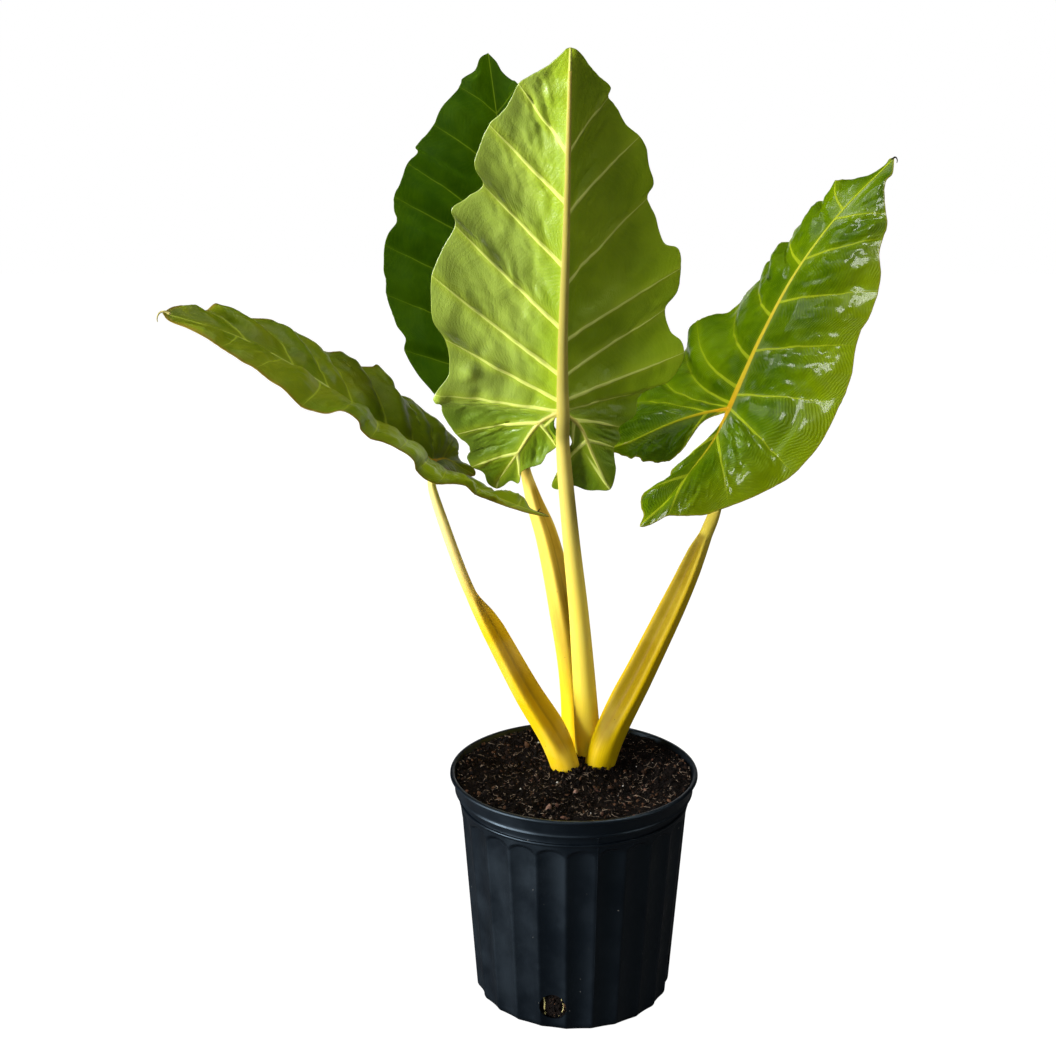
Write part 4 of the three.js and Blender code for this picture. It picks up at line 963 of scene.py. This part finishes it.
# Colours of each stalk from the soil up to the blade, and of the groove in its sheath: its own darker
# yellow with painted shade in the hollow, also used for the streaks.
stalkLook = {
    "front": {"base": (232, 204, 42), "middle": (238, 214, 86), "top": (216, 198, 100),
              "keel": (162, 152, 76), "groove": (196, 158, 16)},
    "back": {"base": (234, 196, 24), "middle": (255, 222, 92), "top": (255, 224, 108),
             "keel": (200, 196, 104), "groove": (186, 144, 8)},
    "left": {"base": (214, 178, 18), "middle": (216, 178, 14), "top": (236, 214, 136),
             "keel": (200, 196, 104), "groove": (176, 132, 4)},
    "right": {"base": (194, 164, 2), "middle": (198, 166, 8), "top": (206, 186, 70),
              "keel": (206, 196, 96), "groove": (104, 84, 0)},
}
# What all stalks share: the colours of the line down the groove, painted shade in its crease, of specks,
# of grains of soil on the foot and of its stain, and how close the streaks lie round the stalk and along it.
stalkMarks = {"line": (122, 92, 0), "speck": (60, 44, 16), "soil": (40, 28, 16), "stain": (96, 70, 24),
              "streaks": (24, .03)}


# A stalk's finish: three colours eased along it, the groove's over them, partly painted shade in the
# hollow, fine streaks of noise drawn out along the stalk in the groove's colour, a dark line down the
# middle of the groove as painted shade in its crease, small dark specks, and a soil-stained foot.
def stalkMaterial(name):
    look = stalkLook[name]
    material, tree = startMaterial(name + "Stalk")
    stalk, length = uvMap(tree, "stalkMap"), uvMap(tree, "lengthMap")
    stemShare, around, above, open = stalk[0], stalk[1], length[0], length[1]
    color = stemShare.ease(.12, .5).blend(look["base"], look["middle"])
    color = stemShare.ease(.5, .92).blend(color, look["top"])
    color = stemShare.ease(.97, 1.1).blend(color, look["keel"])
    fromUp = abs(around - .5)
    # The groove's colour: its own darker yellow, with painted shade in the hollow between the wings.
    color = (fromUp.ease(.13, .07) * open.ease(0, .5) * .8).blend(color, look["groove"])

    # Noise on a cylinder, so that the streaks meet behind.
    turn, streaks = around * 6.2832, stalkMarks["streaks"]
    cylinder = Node(tree, "CombineXYZ", {0: turn.maths("SINE", turn) * streaks[0],
                                         1: turn.maths("COSINE", turn) * streaks[0], 2: above * streaks[1]})
    streak = noise(tree, 1.0, 4, .6, place=cylinder[0])
    color = (streak.ease(.35, .7) * .2).blend(color, look["groove"])
    # Painted shade: a dark line down the crease in the middle of the groove.
    line = fromUp.ease(.03, .01) * open.ease(.1, .6) * streak.ease(.3, .6, .12, .45)
    color = line.blend(color, stalkMarks["line"])
    cloud = noise(tree, 28, 3, .5)
    color = (cloud.ease(.42, .7) * .12).blend(color, look["top"])
    spots = useGroup(tree, specks, {"Color": color, "Speck Color": stalkMarks["speck"], "Scale": 240.0,
                                    "Size": .16, "Amount": .035})["Color"]
    dirt = useGroup(tree, specks, {"Color": spots, "Speck Color": stalkMarks["soil"], "Scale": 420.0,
                                   "Size": .3, "Amount": .3})["Color"]
    color = above.ease(36, 24).blend(spots, dirt)
    color = (above.ease(31, 22) * .6).blend(color, stalkMarks["stain"])
    return endMaterial(material, {
        "Base Color": color, "Roughness": streak.ease(.3, .7, .42, .55), "Specular IOR Level": .06,
        "Normal": bump(tree, streak * .25 + cloud * .3, .3), "Subsurface Weight": .2,
        "Subsurface Radius": (1.0, .7, .2), "Subsurface Scale": .004})


# Sizes in mm, angles in degrees. The body's wall runs straight from bodyBase to bodyTop, whose height is
# fluteTop. The lip is [height, radius] over the two bands and the rolled edge, and innerTop the same for
# the mouth inside.
potForm = {
    "around": 24 * 16, "bodyTop": 116.8, "bodyBase": 101.5, "baseCorner": 9, "baseFlat": 84, "wall": 1.4,
    "floor": 3, "fluteCount": 24, "fluteDepth": 3.8, "fluteStart": -95, "fluteTop": 209, "fluteArch": 9,
    "fluteEase": 4.5, "drainRadius": 14, "drainHeight": 27, "drainAzimuths": [-102.5, -12.5, 77.5, 167.5],
    "sharpFrom": 38, "seamAzimuth": -79.7, "seamWidth": (.22, .42),
    "innerTop": [[215, 113.2], [244, 122.4]],
    "innerBase": [[7, .6], [4.2, 2.4], [3, 5.5]],
    "lip": [[212.6, 117.5], [213.2, 118.0], [214, 118.1], [214.8, 117.8], [215.2, 117.0], [215.6, 116.2],
            [216.2, 116.1], [219, 116.7], [222.6, 117.4], [223.2, 117.6],
            [223.5, 118.2], [223.6, 119.8], [223.8, 121.1], [224.2, 121.8], [224.9, 122.2], [225.7, 122.1],
            [226.5, 121.6], [227.3, 121.4], [230, 121.9], [235, 123.1], [238.6, 123.8],
            [239.3, 124], [239.6, 124.4], [239.9, 125.6], [240.4, 126.6], [241.2, 127], [242.4, 126.9],
            [243.4, 126.4], [243.9, 125.5], [244, 124.6], [243.8, 123.4], [243.2, 122.6], [242, 122.2]],
}


def bodyRadius(z):
    return mix(potForm["bodyBase"], potForm["bodyTop"], z / potForm["fluteTop"])


# Depth of the flutes: a parabola across each, which ends above in a round arch.
def fluteCut(angle, z):
    across = (angle - math.radians(potForm["fluteStart"])) / (2 * np.pi) * potForm["fluteCount"] % 1
    side = np.abs(across - .5) * 2
    archTop = potForm["fluteTop"] - potForm["fluteArch"] * (1 - np.sqrt(np.maximum(0, 1 - side**2)))
    return potForm["fluteDepth"] * (1 - side**2) * smoothstep(archTop - z, 0, potForm["fluteEase"])


# The wall's inner face: the body's own slope, then out under the bands to the mouth.
def innerRadius(z):
    body = bodyRadius(z) - potForm["fluteDepth"] - potForm["wall"]
    (low, lowRadius), (high, highRadius) = potForm["innerTop"]
    return np.where(z > low, mix(lowRadius, highRadius, (z - low) / (high - low)), body)


# A level ring of points about Z at each height, from radii that may change round the turn.
def turnedRings(profile, angle):
    levels, radii = (np.array([np.zeros_like(angle) + place[k] for place in profile]) for k in (0, 1))
    return np.stack([radii * np.cos(angle), radii * np.sin(angle), levels], -1)


# The pot's profile as [height, radius], from the middle of the underside up the outer wall, over the lip
# and down the inner wall to the middle of the floor.
def potProfile(angle):
    corner = potForm["baseCorner"]
    profile = [[0, r] for r in np.linspace(0, potForm["baseFlat"], 8)[1:]]
    for t in np.linspace(0, np.pi / 2, 7):
        z = corner * (1 - np.cos(t))
        profile.append([z, bodyRadius(z) - corner * (1 - np.sin(t)) - t / (np.pi / 2) * fluteCut(angle, z)])
    outer = np.concatenate([np.linspace(14, 190, 30), np.linspace(192, 212, 31)])
    profile += [[z, bodyRadius(z) - fluteCut(angle, z)] for z in outer] + potForm["lip"]
    inner = np.concatenate([np.linspace(239, 216, 9), np.linspace(210, 12, 20)])
    profile += [[z, innerRadius(z)] for z in inner]
    profile += [[z, innerRadius(np.array(8.0)) - inset] for z, inset in potForm["innerBase"]]
    return profile + [[potForm["floor"], r] for r in np.linspace(80, 10, 5)]


# The drain holes as closed cylinders that point outwards through the wall.
def drainCutters():
    swing, cutters = roundTurn(48)[:, None], []
    depth = np.array([70.0, 85, 100, 130])[:, None, None]
    for azimuth in np.radians(potForm["drainAzimuths"]):
        out = np.array([math.cos(azimuth), math.sin(azimuth), 0])
        aside = np.array([-math.sin(azimuth), math.cos(azimuth), 0])
        circle = potForm["drainRadius"] * (np.cos(swing) * aside + np.sin(swing) * [0, 0, 1])
        cutters.append(ringSkin(out * depth + circle[None] + [0, 0, potForm["drainHeight"]])[:2])
    return joinMeshes(cutters)


# The pot as one closed skin, its profile turned about Z, with the drain holes cut out of it.
def buildPot(material):
    angle = roundTurn(potForm["around"])
    points, faces, _, _ = ringSkin(turnedRings(potProfile(angle), angle))
    pot = addPiece("pot_shell", points, faces, [material], ["pot"], "pot")
    cutter = addPiece("cutter", *drainCutters(), [])
    cut = pot.modifiers.new("holes", "BOOLEAN")
    cut.object, cut.solver = cutter, "EXACT"
    bpy.context.view_layer.update()
    mesh = bpy.data.meshes.new_from_object(pot.evaluated_get(bpy.context.evaluated_depsgraph_get()))
    pot.modifiers.clear()
    pot.data = mesh
    bpy.data.objects.remove(cutter)
    mesh.set_sharp_from_angle(angle=math.radians(potForm["sharpFrom"]))
    return pot


# The line that the mould leaves up the pot's front: a thin bead along the outer wall, half sunk in it.
def buildSeam(material):
    angle = math.radians(potForm["seamAzimuth"])
    z = np.concatenate([np.linspace(40, 208, 30), [212, 213.6, 215.6, 219, 222.8]])
    band = np.interp(z, [211, 214, 215.6, 223], [117, 118, 116.2, 117.5])
    r = np.where(z < 211, bodyRadius(z) - fluteCut(angle, z), band)
    path = np.stack([r * math.cos(angle), r * math.sin(angle), z], -1)
    points, faces = tube(path, *potForm["seamWidth"], steps=80)
    return addPiece("mould_seam", points, faces, [material], slotName="pot")


potLook = {"plastic": (2, 5, 10), "worn": (8, 13, 19), "dust": (120, 118, 112), "roughness": .4,
           "mirrorTint": (.62, .82, 1, 1)}


# The pot's plastic: mottled black, greyer in patches, with dust specks, fine upright scuffs and a slightly
# grained surface.
def potMaterial():
    material, tree = startMaterial("potPlastic")
    body = useGroup(tree, mottle, {"Color A": potLook["plastic"], "Color B": potLook["worn"],
                                   "Scale": 14.0, "Balance": .56})
    scuff = noise(tree, 1.0, 3, .6, stretch=(420, 420, 14)).ease(.7, .85) * .12
    spots = useGroup(tree, specks, {"Color": scuff.blend(body["Color"], potLook["dust"]), "Scale": 190.0,
                                    "Speck Color": potLook["dust"], "Size": .12, "Amount": .04})
    rough = noise(tree, 22, 5, .6).ease(.3, .7, potLook["roughness"] - .08, potLook["roughness"] + .12)
    grain = noise(tree, 900, 2, .5) * .03 + noise(tree, 60, 2, .5) * .12
    return endMaterial(material, {
        "Base Color": spots["Color"], "Roughness": rough, "Normal": bump(tree, grain, .8),
        "Specular IOR Level": .5, "Specular Tint": potLook["mirrorTint"]})


# Heights and radii in mm, how many pieces of each kind lie on the soil, and the stalks' feet at its
# surface, each [x, y, half width]. Flakes are [x, y, size], whitest the places of the largest grains of
# perlite.
soilForm = {"level": 234, "mound": 5, "moundReach": 42, "rise": 6.0, "centre": (12, 34), "edge": 119.8,
            "around": 360, "rings": 104,
            "feet": [(17, 47, 14), (-8.5, 16.5, 16), (28, 24.5, 18), (1.5, 72, 14)],
            "crumbs": 5200, "heaped": 900, "shreds": 2600, "fibres": 240, "chips": 60, "perlite": 16,
            "drainCrumbs": 520, "flakes": [(-27.0, -79.0, 5.2), (1.0, -38.0, 3.6)],
            "whitest": [(66, 24), (43, -48), (14, -94)]}
# What the drain holes show: a root is [which hole, half width, its points as [degrees aside, height]].
drainRoots = [(0, 1.1, [(-5.2, 14), (-5.6, 21), (-5.3, 28), (-5.8, 35), (-5.2, 41)]),
              (0, .45, [(3.0, 16), (5.4, 22), (5.8, 29), (4.6, 36)]),
              (1, .45, [(-4, 15), (-1, 24), (2, 38)]),
              (2, .45, [(4, 14), (4.6, 27), (3.8, 40)]),
              (3, .45, [(-3, 13), (1, 26), (-2, 41)])]


# Falls off from one at the stalks' skins to nothing a few millimetres away.
def nearFoot(x, y):
    feet = np.array(soilForm["feet"])
    gaps = np.hypot(x[..., None] - feet[:, 0], y[..., None] - feet[:, 1]) - feet[:, 2]
    return np.exp(-np.maximum(gaps.min(-1), 0) / 4)


# Height of the soil: a bell round the stalks, two slow waves, a rise along the wall and a collar at each
# foot.
def soilHeight(x, y):
    away = np.hypot(x - soilForm["centre"][0], y - soilForm["centre"][1])
    return soilForm["level"] + soilForm["mound"] * np.exp(-((away / soilForm["moundReach"]) ** 2)) + \
        1.3 * np.sin(x * .061 + 1.2) * np.cos(y * .053) + .7 * np.sin(x * .13 - y * .11) + \
        soilForm["rise"] * smoothstep(np.hypot(x, y), 70, 118) + 1.6 * nearFoot(x, y)


# Soil height with the lumps of three sizes of lattice noise.
def lumpyHeight(x, y):
    lumps = 1.1 * latticeNoise(x / 9, y / 9, 5) + .8 * latticeNoise(x / 4, y / 4, 6) + \
        .5 * latticeNoise(x / 1.9, y / 1.9, 7)
    return soilHeight(x, y) + lumps


# The soil as one closed skin: its underside, its side along the pot's wall, and its lumpy top.
def buildSoil(material):
    angle = roundTurn(soilForm["around"])
    profile = [[3.6, 60], [3.6, 90]]
    for z, inset in ((3.6, 7), (8.0, 1.2), (14.0, 1.2)):
        profile.append([z, float(innerRadius(np.array(z))) - inset])
    for z in np.linspace(17, 228, 60):
        lumps = .5 * np.abs(latticeNoise(angle * 30, angle * 0 + z / 4, 9))
        profile.append([z, innerRadius(np.full_like(angle, z)) - .5 - lumps])
    for share in np.linspace(1, 0, soilForm["rings"] + 1)[:-1]:
        r = soilForm["edge"] * share
        profile.append([lumpyHeight(r * np.cos(angle), r * np.sin(angle)), r])
    points, faces, _, _ = ringSkin(turnedRings(profile, angle))
    return addPiece("soil_bed", points, faces, [material], ["soil"], "soil")


soilLook = {"dark": (7, 5, 4), "brown": (22, 14, 10), "crumb": (92, 66, 48), "shred": (140, 122, 104)}
# The other pieces' colours, each with a darker one that it is mottled with.
bitLook = {"fibre": ((158, 140, 120), (64, 46, 32)), "barkChip": ((110, 76, 60), (58, 36, 26)),
           "barkFlake": ((168, 132, 114), (96, 68, 56)), "perlite": ((226, 222, 214), (180, 176, 168)),
           "paleRoot": ((214, 204, 140), (170, 156, 92)), "rootstockBark": ((128, 92, 58), (84, 58, 38)),
           "lobeDripTip": ((40, 48, 12), (30, 28, 14)), "forkDripTip": ((36, 38, 14), (28, 26, 14)),
           "leftDripTip": ((196, 184, 112), (150, 140, 70)), "rightDripTip": ((52, 44, 24), (30, 26, 16))}


# Soil: dark and brown crumbs mottled together, rough, with a bump of two sizes. Loose pieces are told
# apart by their tone, which runs from the dark to the brown and a little past it to a pale colour.
def soilMaterial(name, pale=None):
    material, tree = startMaterial(name)
    dark, brown = soilLook["dark"], soilLook["brown"]
    earth = useGroup(tree, mottle, {"Color A": dark, "Color B": brown, "Scale": 170.0, "Balance": .52})
    color = earth["Color"]
    if pale:
        tone = Node(tree, "Attribute", attribute_name="tone")["Fac"]
        color = tone.ease(.8, 1).blend(tone.ease(0, .8).blend(dark, brown), pale)
        color = (earth["Mask"] * .4).blend(color, dark)
    relief = noise(tree, 500, 4, .7) * 1.2 + noise(tree, 1500, 2, .6) * .3
    return endMaterial(material, {"Base Color": color, "Roughness": .95, "Normal": bump(tree, relief),
                                  "Specular IOR Level": .12})


# One material for a kind of small piece: its colour mottled towards a darker one, with a fine bump.
def bitMaterial(name, roughness=.8, scale=300.0):
    material, tree = startMaterial(name)
    color, darker = bitLook[name]
    both = useGroup(tree, mottle, {"Color A": color, "Color B": darker, "Scale": scale, "Balance": .5})
    grain = bump(tree, noise(tree, scale * 3, 3, .6), .6)
    return endMaterial(material, {"Base Color": both["Color"], "Roughness": roughness, "Normal": grain,
                                  "Specular IOR Level": .3})


# A ball of twelve corners and twenty faces.
def crumbShape():
    golden = (1 + 5**.5) / 2
    corners = np.array([(-1, golden, 0), (1, golden, 0), (-1, -golden, 0), (1, -golden, 0), (0, -1, golden),
                        (0, 1, golden), (0, -1, -golden), (0, 1, -golden), (golden, 0, -1), (golden, 0, 1),
                        (-golden, 0, -1), (-golden, 0, 1)]) / math.hypot(1, golden)
    faces = np.array([(0, 11, 5), (0, 5, 1), (0, 1, 7), (0, 7, 10), (0, 10, 11), (1, 5, 9), (5, 11, 4),
                      (11, 10, 2), (10, 7, 6), (7, 1, 8), (3, 9, 4), (3, 4, 2), (3, 2, 6), (3, 6, 8),
                      (3, 8, 9), (4, 9, 5), (2, 4, 11), (6, 2, 10), (8, 6, 7), (9, 8, 1)])
    return corners, faces


# Random turns from four random numbers each, as unit quaternions made into matrices.
def randomTurns(rng, count):
    w, x, y, z = unit(rng.normal(size=(count, 4))).T
    return np.stack([np.stack([1 - 2 * (y * y + z * z), 2 * (x * y - z * w), 2 * (x * z + y * w)], -1),
                     np.stack([2 * (x * y + z * w), 1 - 2 * (x * x + z * z), 2 * (y * z - x * w)], -1),
                     np.stack([2 * (x * z - y * w), 2 * (y * z + x * w), 1 - 2 * (x * x + y * y)], -1)], 1)


# Random turns that keep the third axis up within some degrees: a heading, after a tilt about the second
# axis.
def flatTurns(rng, count):
    heading, tilt = rng.uniform(0, 2 * np.pi, count), rng.normal(0, .35, count)
    c, s, ct, st = np.cos(heading), np.sin(heading), np.cos(tilt), np.sin(tilt)
    return np.stack([np.stack([c * ct, -s, c * st], -1), np.stack([s * ct, c, s * st], -1),
                     np.stack([-st, np.zeros(count), ct], -1)], 1)


# Lays crumbs at given spots as one mesh. Each is the ball with its corners pushed in and out at random,
# drawn out to its sizes, which are half lengths along its own three axes, and turned.
def buildCrumbs(name, spots, sizes, material, rng, tone=None, rough=.3, flat=False):
    corners, faces = crumbShape()
    count = len(spots)
    shape = corners[None] * (1 + rng.uniform(-rough, rough, (count, 12, 1))) * sizes[:, None]
    turns = randomTurns(rng, count)
    if flat:
        turns = flatTurns(rng, count)
    shape = np.einsum("nij,nkj->nki", turns, shape) + spots[:, None]
    shape = shape.reshape(-1, 3)
    every = (faces[None] + 12 * np.arange(count)[:, None, None]).reshape(-1, 3)
    tones = np.repeat(rng.uniform(0, 1, count) if tone is None else tone, 12)
    return addPiece(name, shape, every, [material], slotName="soil", tone=tones)


# Spots spread evenly over the soil, and more of them heaped in rings close round the stalks' feet.
def soilSpots(rng, count, heaped=0):
    radius, angle = 120 * np.sqrt(rng.uniform(0, 1, count)), rng.uniform(0, 2 * np.pi, count)
    x, y = radius * np.cos(angle), radius * np.sin(angle)
    if heaped:
        foot = np.array(soilForm["feet"])[rng.integers(0, len(soilForm["feet"]), heaped)]
        away, turn = foot[:, 2] + rng.exponential(3.5, heaped), rng.uniform(0, 2 * np.pi, heaped)
        x = np.concatenate([x, foot[:, 0] + away * np.cos(turn)])
        y = np.concatenate([y, foot[:, 1] + away * np.sin(turn)])
    return x, y


# Crumbs of soil all over its top, higher round the feet.
def layCrumbs(rng, material):
    x, y = soilSpots(rng, soilForm["crumbs"], soilForm["heaped"])
    size = rng.gamma(3, .34, len(x)).clip(.45, 3.2)
    sizes = size[:, None] * rng.uniform([.8, .6, .5], [1.6, 1.1, .9], (len(x), 3))
    z = lumpyHeight(x, y) + size * rng.uniform(-.1, .6, len(x)) + 1.2 * nearFoot(x, y)
    buildCrumbs("soil_crumbs", np.stack([x, y, z], -1), sizes, material, rng)


# Shreds of peat and bark, longer than they are wide, some pale.
def layShreds(rng):
    x, y = soilSpots(rng, soilForm["shreds"])
    sizes = np.stack([rng.gamma(4, .5, len(x)).clip(.8, 4.2), rng.uniform(.25, .6, len(x)),
                      rng.uniform(.15, .35, len(x))], -1)
    z = lumpyHeight(x, y) + rng.uniform(.5, 1.7, len(x))
    material = soilMaterial("peatShreds", soilLook["shred"])
    tone = rng.uniform(.3, 1, len(x))
    buildCrumbs("soil_shreds", np.stack([x, y, z], -1), sizes, material, rng, tone=tone, flat=True)


# Fibres that lie curled on the soil and rise in the middle and at the ends.
def layFibres(rng):
    count = soilForm["fibres"]
    x, y = soilSpots(rng, count)
    heading, reach = rng.uniform(0, 2 * np.pi, count), rng.gamma(4, 1.6, count).clip(3, 17)
    curl = rng.normal(0, 1.3, count)
    step = np.linspace(-.5, .5, 6)
    tubes = []
    for k in range(count):
        turn = heading[k] + curl[k] * step
        line = np.stack([x[k] + reach[k] * step * np.cos(turn), y[k] + reach[k] * step * np.sin(turn)], -1)
        line = line * np.minimum(1, 119 / np.hypot(line[:, 0], line[:, 1]))[:, None]
        z = lumpyHeight(line[:, 0], line[:, 1]) + .9 + 1.4 * abs(curl[k]) * np.abs(np.sin(step * 4))
        tubes.append(tube(np.column_stack([line, z]), .32, .14, steps=9, around=5))
    addPiece("soil_fibres", *joinMeshes(tubes), [bitMaterial("fibre")], slotName="soil")


# Lays bits on the soil by their spots and sizes, a share of the size above it, drawn out by the stretch.
def layBits(name, x, y, size, stretch, above, finish, rng):
    spots = np.stack([x, y, lumpyHeight(x, y) + size * above], -1)
    buildCrumbs(name, spots, size[:, None] * np.array(stretch), bitMaterial(finish), rng, rough=.2)


# Crumbs on the root ball's side behind the drain holes, a pale root and four threads.
def fillDrains(rng, material):
    count, azimuths = soilForm["drainCrumbs"], potForm["drainAzimuths"]
    turn, high = rng.uniform(-.15, .15, count), rng.uniform(12, 42, count)
    azimuth = np.radians(rng.choice(azimuths, count)) + turn
    far = innerRadius(high) - .9
    spots = np.stack([far * np.cos(azimuth), far * np.sin(azimuth), high], -1)
    sizes = rng.gamma(3, .4, count).clip(.5, 2.2)[:, None] * np.ones(3)
    buildCrumbs("drain_crumbs", spots, sizes, material, rng)
    roots = []
    for hole, wide, path in drainRoots:
        across, high = np.array(path, float).T
        azimuth = math.radians(azimuths[hole]) + np.radians(across)
        far = innerRadius(high) - .3
        points = np.stack([far * np.cos(azimuth), far * np.sin(azimuth), high], -1)
        roots.append(tube(points, wide, wide * .8, steps=14))
    addPiece("drain_roots", *joinMeshes(roots), [bitMaterial("paleRoot", .6)], slotName="rootstock")


def dressSoil():
    rng = np.random.default_rng(11)
    loose = soilMaterial("looseSoil", soilLook["crumb"])
    layCrumbs(rng, loose)
    layShreds(rng)
    layFibres(rng)
    x, y = soilSpots(rng, soilForm["chips"])
    size = rng.gamma(4, .45, len(x)).clip(.8, 3.2)
    layBits("bark_chips", x, y, size, [1.25, .8, .35], .3, "barkChip", rng)
    layBits("bark_flakes", *np.array(soilForm["flakes"]).T, [1.1, .8, .5], .35, "barkFlake", rng)
    x, y = np.concatenate([soilSpots(rng, soilForm["perlite"]), np.array(soilForm["whitest"]).T], 1)
    layBits("perlite", x, y, rng.uniform(.6, 1.3, len(x)), [1, 1, 1], .6, "perlite", rng)
    fillDrains(rng, loose)


for index, name in enumerate(leafRows):
    buildLeaf(name, [leafMaterial(name, "upper"), leafMaterial(name, "under")], 100 + 20 * index)
    buildStalk(name, stalkMaterial(name), 300 + index)
print("leaves and stalks built")

# The dried ends of two drip tips, hooked down, and the forked one of a basal lobe: the blade that each is
# on, its half width at the root, and its points.
hooks = {"lobe": ("left", .9, [(-50, 36, 512.4), (-43, 35.5, 508.8), (-35, 34.5, 507.2), (-27, 33, 504.2)]),
         "fork": ("left", .9, [(-37, 35, 507.4), (-36, 35, 509.4), (-34.6, 34.6, 511.2)]),
         "left": ("left", 1.3, [(-384, -18.5, 715), (-388.5, -19, 717.4), (-392.7, -20, 717.0),
                                (-395, -21, 714.5), (-395.9, -22, 710.9), (-395.6, -22, 708.1)]),
         "right": ("right", 1.3, [(336, 221, 840), (339.5, 222.5, 844.6), (342.5, 223.5, 845.6),
                                  (344.4, 224, 843), (344.2, 224, 839.7)])}
for name, (blade, wide, path) in hooks.items():
    finish = bitMaterial(name + "DripTip", .5)
    addPiece("drip_tip_" + name, *tube(path, wide, .35, steps=20), [finish], slotName="blade_" + blade)

plastic = potMaterial()
buildPot(plastic)
buildSeam(plastic)
buildSoil(soilMaterial("soilBed"))
dressSoil()
rootstock = bpy.data.objects["rootstock"]
rootstock.data.materials.clear()
rootstock.data.materials.append(bitMaterial("rootstockBark", .75, 60.0))
print("pot and soil built")

# The camera's place in metres, how many degrees it is tipped up from looking down, and its lens in mm.
# Each light is [place, what it is aimed at, size, power, angle of its beam, colour]. World is the even
# light from all sides, mirrored the part of it that reflections show, and floorGlow what the floor gives
# off to the camera.
studio = {"camera": (-.047, -1.6, .950), "tip": 74.31, "lens": 57.41, "sensor": 36,
          "world": .1, "mirrored": .015, "floorGlow": 1.0, "floor": (.06, .06, .06, 1), "floorReach": 6,
          "lights": {"window": ((-2.4, -1.2, .75), (0, 0, .5), 1.4, 164, 180, (.98, .99, 1)),
                     "front": ((-.5, -2.6, 1.5), (0, 0, .5), 1.4, 9, 180, (1, .99, .96)),
                     "side": ((1.7, -1.0, 1.0), (.06, .02, .42), .8, .45, 40, (1, .99, .96)),
                     "behind": ((.3, 2.7, .12), (0, 0, .7), 1.8, 10, 180, (1, 1, .98)),
                     "topLeft": ((-.35, .75, 2.6), (-.1, .15, .57), .5, .4, 30, (1, 1, 1)),
                     "overhead": ((-.1, .2, 2.9), (0, .1, .6), 1.0, 9, 180, (1, 1, 1)),
                     "lamp": ((.95, -.25, 2.9), (.25, .1, .7), .55, 29, 180, (1, 1, 1))}}

tip = (math.radians(studio["tip"]), 0, 0)
camera = addObject("camera", bpy.data.cameras.new("camera"), studio["camera"], tip)
camera.data.lens, camera.data.sensor_width = studio["lens"], studio["sensor"]
bpy.context.scene.camera = camera
for name, (spot, aim, size, power, spread, color) in studio["lights"].items():
    light = bpy.data.lights.new(name, "AREA")
    light.size, light.energy, light.color, light.spread = size, power, color, math.radians(spread)
    addObject(name, light, spot, (Vector(aim) - Vector(spot)).to_track_quat("-Z", "Y").to_euler())

# The floor reads as near white: it is pale and gives off some light of its own to the camera alone.
mesh = bpy.data.meshes.new("floor")
mesh.from_pydata([(x * studio["floorReach"], y * studio["floorReach"], 0)
                  for x, y in ((-1, -1), (1, -1), (1, 1), (-1, 1))], [], [(0, 1, 2, 3)])
addObject("floor", mesh)
finish, tree = startMaterial("floorFinish")
mesh.materials.append(endMaterial(finish, {
    "Base Color": studio["floor"], "Roughness": 1.0, "Emission Color": (1, 1, 1, 1),
    "Emission Strength": Node(tree, "LightPath")["Is Camera Ray"] * studio["floorGlow"]}))

# The world is white to the camera, gives a weaker, even light, and is darker still in reflections.
world = bpy.data.worlds.new("studio")
bpy.context.scene.world = world
world.use_nodes = True
tree = world.node_tree
ray = Node(tree, "LightPath")
light = studio["world"] - ray["Is Glossy Ray"] * (studio["world"] - studio["mirrored"])
sky = tree.nodes["Background"].inputs
feed(tree, sky["Color"], (1, 1, 1, 1))
feed(tree, sky["Strength"], ray["Is Camera Ray"].highest(light))
bpy.context.scene.view_settings.view_transform = "Standard"
